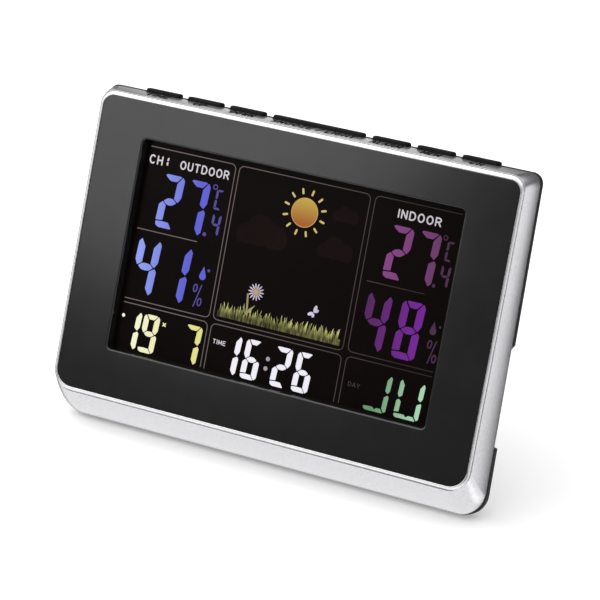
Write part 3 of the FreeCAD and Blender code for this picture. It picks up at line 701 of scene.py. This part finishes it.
# Letters as strokes, 1 high: the width, then the lines
LETTER_BOWL = [(0, 0), (0, 1), (0.28, 1), *arc(0.28, 0.74, 0.26, 0.26, 80, -80, 8), (0.28, 0.48), (0, 0.48)]
LETTERS = {
    "A": (0.62, [[(0, 0), (0.31, 1), (0.62, 0)], [(0.13, 0.32), (0.49, 0.32)]]),
    "C": (0.62, [arc(0.32, 0.5, 0.32, 0.5, 48, 312)]),
    "D": (0.6, [[(0, 0), (0, 1), (0.22, 1)] + arc(0.26, 0.5, 0.34, 0.5, 80, -80) + [(0.22, 0), (0, 0)]]),
    "E": (0.5, [[(0.5, 1), (0, 1), (0, 0), (0.5, 0)], [(0, 0.52), (0.44, 0.52)]]),
    "G": (0.62, [arc(0.32, 0.5, 0.32, 0.5, 48, 330) + [(0.6, 0.46), (0.36, 0.46)]]),
    "H": (0.56, [[(0, 0), (0, 1)], [(0.56, 0), (0.56, 1)], [(0, 0.52), (0.56, 0.52)]]),
    "I": (0.0, [[(0, 0), (0, 1)]]),
    "L": (0.48, [[(0, 1), (0, 0), (0.48, 0)]]),
    "M": (0.7, [[(0, 0), (0, 1), (0.35, 0.2), (0.7, 1), (0.7, 0)]]),
    "N": (0.56, [[(0, 0), (0, 1), (0.56, 0), (0.56, 1)]]),
    "O": (0.64, [arc(0.32, 0.5, 0.32, 0.5, 0, 360, 16)]),
    "P": (0.54, [LETTER_BOWL]),
    "R": (0.56, [LETTER_BOWL, [(0.3, 0.48), (0.56, 0)]]),
    "S": (0.54, [arc(0.27, 0.75, 0.25, 0.25, 40, 270, 8) + arc(0.27, 0.25, 0.27, 0.25, 90, -140, 8)]),
    "T": (0.58, [[(0, 1), (0.58, 1)], [(0.29, 1), (0.29, 0)]]),
    "U": (0.56, [[(0, 1)] + arc(0.28, 0.28, 0.28, 0.28, 180, 360) + [(0.56, 1)]]),
    "W": (0.8, [[(0, 1), (0.2, 0), (0.4, 0.8), (0.6, 0), (0.8, 1)]]),
    "Y": (0.6, [[(0, 1), (0.3, 0.48), (0.6, 1)], [(0.3, 0.48), (0.3, 0)]]),
    "Z": (0.56, [[(0, 1), (0.56, 1), (0, 0), (0.56, 0)]]),
    "/": (0.36, [[(0, 0), (0.36, 1)]]),
    " ": (0.1, []),
}


def lettering(text, x, v, height, width, weight=LETTER_STROKE):
    """Plain bold letters as strokes, fitted to a height and a width."""
    widths = [LETTERS[letter][0] for letter in text]
    whole = sum(widths) + LETTER_SPACE * (len(text) - 1) + weight
    stroke = weight * height
    rise = height - stroke
    scale = width / whole
    polygons = []
    start = weight / 2
    for letter, letter_width in zip(text, widths):
        for line in LETTERS[letter][1]:
            points = [(x + (start + px) * scale, v + stroke / 2 + py * rise) for px, py in line]
            polygons += [bar(a, b, stroke, 3) for a, b in zip(points, points[1:])]
        start += letter_width + LETTER_SPACE
    return polygons


# -------------------- display

def flat_piece(name, polygons, material, nearer=0.0):
    """Thin plates lying on the display, one for each polygon."""
    front = PRINT_D + nearer
    shape = plates(polygons, lambda x, v: place(x, front, v), lambda x, v: place(x, front + PLATE, v))
    piece_from(name, shape, material, "case", sharp=20, weighted=False)


# Segments of each figure: a to g as usual, and n is a bottom segment with a notch
SEGMENTS = {
    "1": "bc", "2": "abged", "4": "fgbc", "6": "afgedc", "7": "abc", "8": "abcdefg", "9": "abcdfg",
    "C": "adef", "J": "bcn", "U": "bcnef",
}


def seven_segments(figure, x, v, w, h, t, g=LARGE_GAP):
    """A figure whose lower left corner is at (x, v): w wide, h high, t thick, with gaps of g."""
    mid = h / 2
    upper = [(w - 0.35 * t, h - g), (w, h - g - 0.45 * t), (w, mid + 0.75 * t), (w - 0.4 * t, mid + g),
             (w - t, mid + 0.45 * t + g), (w - t, h - 0.95 * t - g)]
    lower = [(w - 0.3 * t, mid - g), (w, mid - 0.4 * t), (w, 0.5 * t), (w - 0.4 * t, g),
             (w - t, 0.8 * t + g), (w - t, mid - 0.45 * t - g)]
    top = [(0.1 * t, h - 0.15 * t), (0.35 * t, h), (w - 0.75 * t, h), (w - 0.5 * t, h - 0.08 * t),
           (w - 1.05 * t - g, h - 0.8 * t), (0.95 * t, h - 0.8 * t), (0.5 * t, h - 0.5 * t)]
    base = [(0.02 * t, 0.75 * t), (t, 0.85 * t), (w - 1.05 * t - g, 0.8 * t), (w - 0.5 * t - g, 0.1 * t),
            (w - 0.7 * t, 0), (0.6 * t, 0), (0.15 * t, 0.25 * t)]
    notched = base[:2] + [(0.42 * w, 0.85 * t), (0.47 * w, 0.5 * t), (0.53 * w, 0.5 * t),
                          (0.58 * w, 0.82 * t)] + base[2:]
    if "f" in SEGMENTS[figure]:
        top = [(0.5 * t + g, h - 0.08 * t), (0.75 * t, h), *top[2:5], (1.05 * t + g, h - 0.8 * t)]
    shapes = {
        "a": top,
        "b": upper,
        "c": lower,
        "d": base,
        "e": [(0, 0.8 * t + 2 * g), (t, 0.9 * t + 2 * g), (t, mid - 0.45 * t - g), (0.45 * t, mid - g),
              (0, mid - 0.5 * t)],
        "f": [(w - px, py) for px, py in upper],
        "g": [(0.5 * t + g, mid), (t + g, mid + 0.4 * t), (w / 2, mid + 0.47 * t),
              (w - t - g, mid + 0.4 * t), (w - 0.5 * t - g, mid), (w - t - g, mid - 0.4 * t),
              (w / 2, mid - 0.47 * t), (t + g, mid - 0.4 * t)],
        "n": notched,
    }
    segments = [softened(shapes[name], 0.12 * t) for name in SEGMENTS[figure]]
    return [[(x + px + SLANT * py, v + py) for px, py in polygon] for polygon in segments]


def drop(x, v, half, height):
    """A water drop: a pointed top on a round body."""
    points = [(x, v + height)]
    for step in range(17):
        angle = math.radians(20 - 220 * step / 16)
        points.append((x + half * math.cos(angle), v + half + half * math.sin(angle)))
    return points


def percent(x, v):
    """A narrow percent sign centred at (x, v)."""
    shapes = [bar((x - 1.05, v - 4.2), (x + 1.05, v + 4.2), 0.45)]
    for centre_x, centre_v in ((x - 1.4, v + 2.7), (x + 1.2, v - 2.2)):
        oval = [(centre_x + across + SLANT * along, centre_v + along) for across, along in
                arc(0, 0, 0.75, 1.4, 0, 360, 14)]
        shapes += ribbon(oval, 0.5)
    return shapes


def cell_lines():
    """The thin lines round the fields of the display."""
    lines = (
        [(-65.5, 40.2), (-28.6, 40.2), (-28.6, -18.4), (-65.5, -18.4)],
        [(-65.5, 8.6), (-39.3, 8.6)],
        [(0.0, 40.2), (28.0, 40.2), (28.0, -18.4), (-27.0, -18.4), (-27.0, 40.2), (0.0, 40.2)],
        [(65.0, 40.3), (30.0, 40.3), (30.0, -18.0), (65.0, -18.0)],
        [(32.5, 9.0), (56.0, 9.0)],
        [(-65.5, -20.1), (-28.6, -20.1), (-28.6, -37.3)],
        [(-27.0, -37.5), (-27.0, -20.0), (28.2, -20.0), (28.2, -37.5)],
        [(30.2, -37.5), (30.2, -19.8), (65.0, -19.8)],
    )
    quads = [quad for line in lines for quad in ribbon(rounded_path(line, LINE_CORNER), LINE_WIDTH)]
    flat_piece("display_cell_lines", quads, lit("cell_line_glow", (116, 104, 102), (46, 39, 38), -45, 50))


# Unlit clouds: x, v and size, and the puffs of a cloud of size 1: x, v and radius
CLOUDS = ((-12.6, 15.6, 1.35), (18.2, 16.0, 0.95), (19.8, 29.6, 0.7))
CLOUD_PUFFS = ((-5.0, 0.0, 3.2), (-1.0, 2.0, 4.4), (4.0, 0.6, 3.6))


def cloud_outline(x, v, size):
    """The outer edge of three round puffs with a flat base."""
    base = v - 2.4 * size
    points = []
    steps = 72
    for step in range(steps):
        angle = 2 * math.pi * step / steps
        ray = Vector((math.cos(angle), math.sin(angle)))
        reach = 0.0
        for dx, dv, radius in CLOUD_PUFFS:
            offset = Vector((dx, dv)) * size
            along = offset.dot(ray)
            room = (radius * size) ** 2 - (offset.length_squared - along ** 2)
            if room > 0:
                reach = max(reach, along + math.sqrt(room))
        points.append((x + reach * ray.x, max(v + reach * ray.y, base)))
    return points


def clouds():
    """Unlit cloud shapes, just visible as a warmer black."""
    material = plastic("unlit_segment", (0.0075, 0.0034, 0.003), 0.15, 0.3, 500, 0.01, specular=0.05)
    flat_piece("display_unlit_clouds", [cloud_outline(*cloud) for cloud in CLOUDS], material)


def outdoor_figures():
    """Outdoor temperature and humidity, with their small signs."""
    blue = lit("lit_blue", (148, 164, 240), (96, 98, 208), -64, -42)
    temperature = seven_segments("2", -58.6, 10.7, 8.8, 20.5, 2.95)
    temperature += seven_segments("7", -47.2, 10.7, 8.6, 20.5, 2.95)
    flat_piece("display_outdoor_temperature", temperature, blue)
    humidity = seven_segments("4", -64.7, -15.9, 9.9, 21.4, 3.05)
    humidity += seven_segments("1", -51.2, -15.9, 10.0, 21.4, 3.05)
    humidity.append(drop(-34.4, -5.1, 1.4, 5.2))
    flat_piece("display_outdoor_humidity", humidity, blue)
    small = [disc(-36.8, 12.0, 0.75, 14), disc(-32.2, -1.1, 0.6, 12)]
    small += seven_segments("4", -35.0, 12.4, 3.8, 7.9, 1.05, SMALL_GAP)
    small += ring_strokes(-35.6, 30.3, 0.85, 0.4)
    small += seven_segments("C", -35.1, 22.0, 3.3, 7.6, 0.95, SMALL_GAP)
    small += percent(-35.1, -11.3)
    indigo = lit("lit_indigo", (86, 78, 150), (84, 76, 150), -38, -32)
    flat_piece("display_outdoor_small_figures", small, indigo)


def indoor_figures():
    """Indoor temperature and humidity, with their small signs."""
    magenta = lit("lit_magenta", (132, 68, 130), (106, 58, 102), 38, 58)
    temperature = seven_segments("2", 37.9, 11.6, 8.8, 19.7, 2.95)
    temperature += seven_segments("7", 49.2, 11.8, 8.6, 19.7, 2.95)
    flat_piece("display_indoor_temperature", temperature, magenta)
    purple = lit("lit_purple", (86, 38, 94), (112, 38, 144), 36, 54)
    humidity = seven_segments("4", 33.3, -15.8, 9.8, 21.2, 3.05)
    humidity += seven_segments("8", 47.1, -16.2, 9.5, 21.6, 3.05)
    flat_piece("display_indoor_humidity", humidity, purple)
    small = [disc(58.9, 12.7, 0.7, 14), drop(62.0, -4.9, 1.3, 5.0)]
    small += ring_strokes(60.2, 30.7, 0.8, 0.36)
    small += seven_segments("C", 61.0, 22.4, 3.2, 7.3, 0.95, SMALL_GAP)
    small += seven_segments("4", 60.4, 12.9, 3.8, 7.9, 1.05, SMALL_GAP)
    small += percent(63.1, -11.1)
    small.append(disc(64.5, -1.5, 0.45, 10))
    dim_violet = lit("lit_dim_violet", (66, 42, 66), (76, 48, 76), 58, 65)
    flat_piece("display_indoor_small_figures", small, dim_violet)


def date_and_time_figures():
    """The date, the clock with its colon, and the day of the week."""
    date = [bar((-47.3, -25.6), (-46.3, -24.6), 0.5), bar((-47.3, -24.6), (-46.3, -25.6), 0.5)]
    date.append(disc(-64.8, -25.2, 0.7, 10))
    for figure, left in (("1", -64.4), ("9", -56.5), ("7", -37.9)):
        date += seven_segments(figure, left, -37.4, 6.95, 14.8, 2.25, MIDDLE_GAP)
    flat_piece("display_date", date, lit("lit_yellow", (246, 245, 212), (226, 222, 140), -60, -34))
    clock = []
    for figure, left in (("1", -20.8), ("6", -11.9), ("2", 0.8), ("6", 9.9)):
        clock += seven_segments(figure, left, -37.5, 7.0, 15.1, 2.3, MIDDLE_GAP)
    flat_piece("display_time", clock, lit("lit_white", (240, 240, 246), (238, 236, 246), -20, 20))
    colon = [disc(-1.3, -28.1, 0.85, 14), disc(-1.6, -31.8, 0.85, 14)]
    flat_piece("display_colon", colon, lit("lit_colon", (165, 155, 170), (165, 155, 170), -3, 0))
    day = seven_segments("J", 40.0, -37.4, 9.3, 14.4, 1.85, DAY_GAP)
    day += seven_segments("U", 52.5, -37.4, 10.1, 14.4, 1.85, DAY_GAP)
    flat_piece("display_day", day, lit("lit_mint", (104, 146, 106), (168, 212, 178), 44, 63))


def display_words():
    """The small words of the fields, and the figure of the channel."""
    pale = lit("lit_label", (214, 208, 214), (200, 194, 202), -64, 60)
    dim = lit("lit_dim", (62, 54, 54), (60, 52, 52), 30, 40)
    flat_piece("display_label_channel", lettering("CH", -65.4, 33.7, 3.6, 5.8), pale)
    channel = seven_segments("1", -59.2, 34.0, 2.0, 3.4, 0.75, SMALL_GAP)
    flat_piece("display_channel_figure", channel, pale)
    flat_piece("display_label_outdoor", lettering("OUTDOOR", -52.0, 33.9, 3.4, 21.2), pale)
    flat_piece("display_label_indoor", lettering("INDOOR", 39.9, 34.0, 3.4, 17.6), pale)
    flat_piece("display_label_time", lettering("TIME", -25.3, -27.4, 1.8, 5.5), pale)
    flat_piece("display_label_day", lettering("DAY", 32.6, -30.5, 1.8, 5.0), dim)


def sun():
    """A disc with a paler edge, and twelve rays."""
    x, v = 2.7, 28.3
    radius, reach = 5.3, 5.5
    flat_piece("display_sun", [disc(x, v, radius, 48)], sun_glow(v - reach, v + reach))
    edge = lit("sun_edge", (204, 150, 92), (208, 164, 100), -3, 8)
    flat_piece("display_sun_edge", ring_strokes(x, v, 5.4, 0.3, 48), edge)
    rays = []
    for index in range(12):
        angle = math.radians(15 + 30 * index)
        ray = Vector((math.cos(angle), math.sin(angle)))
        rays.append(bar(Vector((x, v)) + ray * 7.2, Vector((x, v)) + ray * 8.7, 0.8))
    flat_piece("display_sun_rays", rays, lit("ray_glow", (206, 188, 124), (204, 184, 112), -6, 10))


# Rows of grass: piece, material, number of blades, their heights, their half widths, layer, brightness
GRASS_ROWS = (
    ("display_grass_back", "tall_grass_glow", 74, (4.1, 6.4), (0.35, 0.6), 0.0, 1.0),
    ("display_grass_front", "short_grass_glow", 80, (2.4, 4.6), (0.3, 0.5), NEARER, 0.82),
)
GRASS_LEFT, GRASS_RIGHT, GRASS_BASE = -25.5, 26.3, -16.9


def meadow():
    """Blades of grass in two rows, the tall ones behind, each with a bend halfway up."""
    rng = random.Random(7)
    left, right, base = GRASS_LEFT, GRASS_RIGHT, GRASS_BASE
    halfway = 0.55
    for name, material_name, count, (low, high), (thin, thick), nearer, level in GRASS_ROWS:
        turf = base + low * halfway
        blades = [[(left, base), (right, base), (right, turf), (left, turf)]]
        for index in range(count):
            x = left + 0.5 + (right - left - 1.0) * (index + rng.random() * 0.8) / count
            height = rng.uniform(low, high)
            lean = rng.uniform(-1.0, 1.1)
            half = rng.uniform(thin, thick)
            bend_x, bend_v = x + lean * 0.25, base + height * halfway
            blades.append([(x - half, base), (x + half, base), (bend_x + half * 0.8, bend_v),
                           (x + lean, base + height), (bend_x - half * 0.8, bend_v)])
        flat_piece(name, blades, grass_glow(material_name, base, level), nearer)


def flower():
    """A daisy: petals, heart, and a stem with two leaves."""
    x, v = -11.1, -4.7
    count, middle, length, width = 14, 2.2, 2.3, 0.52
    petals = []
    for index in range(count):
        angle = 2 * math.pi * index / count
        centre_x, centre_v = x + middle * math.cos(angle), v + middle * math.sin(angle)
        petals.append(petal_shape(centre_x, centre_v, angle, length, width))
    flat_piece("display_flower_petals", petals, lit("petal_glow", (214, 200, 220), (200, 186, 206), -15, -8))
    heart = lit("heart_glow", (188, 168, 122), (178, 156, 108), -13, -10)
    flat_piece("display_flower_heart", [disc(x, v, 1.1, 18)], heart, NEARER)
    stem = ribbon([(-14.3, -6.0), (-14.0, -8.4), (-13.7, -11.0), (-13.6, -13.6)], 0.75)
    leaves = [[(-13.9, -14.2), (-12.9, -11.6), (-10.4, -9.6), (-12.0, -12.2)],
              [(-14.0, -14.0), (-15.4, -11.4), (-15.0, -9.8), (-14.6, -11.6)]]
    green = lit("stem_glow", (150, 142, 104), (166, 160, 108), -15, -10)
    flat_piece("display_flower_stem", stem + leaves, green, NEARER)


def butterfly():
    """Two pairs of wings, each given by its angle, distance from the middle, length and width."""
    x, v = 13.9, -7.2
    shapes = ((78, 1.5, 2.9, 1.4), (38, 1.3, 1.8, 1.1), (203, 1.5, 2.5, 1.3), (258, 1.1, 1.6, 1.1))
    wings = []
    for degrees, out, length, width in shapes:
        angle = math.radians(degrees)
        wings.append(petal_shape(x + out * math.cos(angle), v + out * math.sin(angle), angle, length, width))
    flat_piece("display_butterfly", wings, lit("wing_glow", (214, 204, 236), (186, 178, 210), 12, 16))


# -------------------- words in front of the buttons

def on_strip(x, depth, rise):
    """A point above the top of the case."""
    share = (depth - CASE_FRONT_D) / (SEAM_D - SEAM_SLOPE * CASE_SEAM[2] - CASE_FRONT_D)
    return place(x, depth, band_outline(share)[2] + rise)


def button_labels():
    """Small printed words on top of the case, in front of each button."""
    ink = plastic("label_ink", (0.012, 0.011, 0.011), 0.1, 0.6, 1500, 0.1, specular=0.05)
    near, far = LABEL_D
    for name, text in LABELS.items():
        left, right, _, _ = span_of("button_" + name)
        width = LABEL_PITCH * len(text)
        letters = lettering(text, (left + right - width) / 2, near, far - near, width, LABEL_WEIGHT)
        shape = plates(letters, lambda x, d: on_strip(x, d, LABEL_RISE), lambda x, d: on_strip(x, d, 0.0))
        piece_from("label_" + name, shape, ink, "case", sharp=20, weighted=False)


# -------------------- CAD nodes that stay

def dress_cad_nodes():
    """Gives every CAD node its material, and breaks the sharp edges of those on the outside."""
    slots = {row["node"]: row["material_slot"] for row in frame["record"]["subparts"]}
    for name, node in frame["nodes"].items():
        node.data.materials.clear()
        node.data.materials.append(MATERIALS[slots[name]])
        if name in OUTER_NODES:
            edge = node.modifiers.new("edge", "BEVEL")
            edge.width = EDGE_BEVEL * MM
            edge.segments = 2
            edge.limit_method = "ANGLE"
            edge.angle_limit = math.radians(EDGE_ANGLE)
            edge.harden_normals = True


# -------------------- camera, light and floor

def camera():
    """Looks at the panel from the right and a little above, rolled."""
    azimuth, elevation = math.radians(CAMERA_AZIMUTH), math.radians(CAMERA_ELEVATION)
    towards = (RIGHT * math.sin(azimuth) * math.cos(elevation)
               - BACK * math.cos(azimuth) * math.cos(elevation)
               + UP * math.sin(elevation))
    data = bpy.data.cameras.new("camera")
    data.lens = CAMERA_LENS
    data.sensor_width = 36.0
    data.clip_start = 0.01
    data.clip_end = 50.0
    obj = bpy.data.objects.new("camera", data)
    bpy.context.scene.collection.objects.link(obj)
    obj.location = place(AIM[0], 0, AIM[1]) + towards * CAMERA_DISTANCE * MM
    level = (UP - towards * UP.dot(towards)).normalized()
    upward = Matrix.Rotation(math.radians(CAMERA_ROLL), 3, towards) @ level
    sideways = upward.cross(towards)
    obj.rotation_mode = "QUATERNION"
    obj.rotation_quaternion = Matrix((sideways, upward, towards)).transposed().to_quaternion()
    bpy.context.scene.camera = obj


def floor():
    """A pale table top that glows a little, and that mirror-like surfaces don't show."""
    bpy.ops.mesh.primitive_plane_add(size=FLOOR_SIZE, location=(0, 0, 0))
    plane = bpy.context.object
    plane.name = "floor"
    plane.visible_glossy = False
    material, tree, shader = new_material("floor_paper")
    paper = ramp(tree, noise(tree, 2), [(0.3, (0.93, 0.93, 0.93)), (0.7, (0.95, 0.95, 0.95))])
    tree.links.new(paper, shader.inputs["Base Color"])
    shader.inputs["Roughness"].default_value = 0.9
    shader.inputs["Emission Color"].default_value = (1, 1, 1, 1)
    shader.inputs["Emission Strength"].default_value = FLOOR_GLOW
    plane.data.materials.append(material)


def direction(azimuth, elevation):
    """Unit vector towards a place in the surroundings, from its two angles in degrees."""
    a, e = math.radians(azimuth), math.radians(elevation)
    return Vector((math.sin(a) * math.cos(e), -math.cos(a) * math.cos(e), math.sin(e)))


def softbox(name, azimuth, elevation, distance, size, radiance):
    """A rectangular area light that faces the object."""
    data = bpy.data.lights.new(name, "AREA")
    data.shape = "RECTANGLE"
    data.size, data.size_y = size
    data.energy = radiance * math.pi * size[0] * size[1]
    obj = bpy.data.objects.new(name, data)
    bpy.context.scene.collection.objects.link(obj)
    towards = direction(azimuth, elevation)
    obj.location = SOFTBOX_AIM + towards * distance
    obj.rotation_mode = "QUATERNION"
    obj.rotation_quaternion = towards.to_track_quat("Z", "Y")


def combine(tree, operation, first, second):
    """A sum done in nodes, on two values or node outputs."""
    node = tree.nodes.new("ShaderNodeMath")
    node.operation = operation
    for socket, value in zip(node.inputs, (first, second)):
        if isinstance(value, (int, float)):
            socket.default_value = value
        else:
            tree.links.new(value, socket)
    return node.outputs["Value"]


def glow(tree, view, azimuth, elevation, inner, outer, amount):
    """A soft round patch of the surroundings: full within inner degrees, gone beyond outer."""
    dot = tree.nodes.new("ShaderNodeVectorMath")
    dot.operation = "DOT_PRODUCT"
    dot.inputs[1].default_value = direction(azimuth, elevation)
    tree.links.new(view, dot.inputs[0])
    fade = tree.nodes.new("ShaderNodeMapRange")
    fade.interpolation_type = "SMOOTHSTEP"
    fade.inputs["From Min"].default_value = math.cos(math.radians(outer))
    fade.inputs["From Max"].default_value = math.cos(math.radians(inner))
    fade.inputs["To Max"].default_value = amount
    tree.links.new(dot.outputs["Value"], fade.inputs["Value"])
    return fade.outputs["Result"]


def fade_window(tree, value, low, high, soft):
    """1 between low and high, falling smoothly to 0 over the soft edge."""
    result = None
    for start, end in ((low - soft, low + soft), (high + soft, high - soft)):
        fade = tree.nodes.new("ShaderNodeMapRange")
        fade.interpolation_type = "SMOOTHSTEP"
        fade.inputs["From Min"].default_value = math.radians(start)
        fade.inputs["From Max"].default_value = math.radians(end)
        tree.links.new(value, fade.inputs["Value"])
        output = fade.outputs["Result"]
        result = output if result is None else combine(tree, "MULTIPLY", result, output)
    return result


def card_behind(tree, view):
    """The pale card: full between its edges and gone outside them."""
    left, right, bottom, top, soft, amount = CARD
    axes = tree.nodes.new("ShaderNodeSeparateXYZ")
    tree.links.new(view, axes.inputs["Vector"])
    around = combine(tree, "ARCTAN2", axes.outputs["X"], axes.outputs["Y"])
    height = combine(tree, "ARCSINE", axes.outputs["Z"], 0.0)
    inside = combine(tree, "MULTIPLY", fade_window(tree, around, left, right, soft),
                     fade_window(tree, height, bottom, top, soft))
    return combine(tree, "MULTIPLY", inside, amount)


def studio():
    """Surroundings that the glossy surfaces mirror: a pale room with one dark corner behind."""
    world = bpy.data.worlds.new("studio")
    world.use_nodes = True
    tree = world.node_tree
    view = tree.nodes.new("ShaderNodeTexCoord").outputs["Generated"]
    level = ROOM_LEVEL
    for patch in ROOM_PATCHES:
        level = combine(tree, "ADD", level, glow(tree, view, *patch))
    lightness = combine(tree, "SUBTRACT", 1.0, glow(tree, view, *DARK_PATCH))
    level = combine(tree, "MULTIPLY", level, lightness)
    level = combine(tree, "ADD", level, card_behind(tree, view))
    background = tree.nodes["Background"]
    background.inputs["Color"].default_value = (1, 1, 1, 1)
    tree.links.new(level, background.inputs["Strength"])
    bpy.context.scene.world = world
    bpy.context.scene.view_settings.view_transform = "Standard"


# -------------------- making

dress_cad_nodes()
panel_piece()
rim_piece()
case_piece()
for button in BUTTONS:
    button_piece(button)
cell_lines()
clouds()
outdoor_figures()
indoor_figures()
date_and_time_figures()
display_words()
sun()
meadow()
flower()
butterfly()
button_labels()
camera()
floor()
studio()
for box in SOFTBOXES:
    softbox(*box)
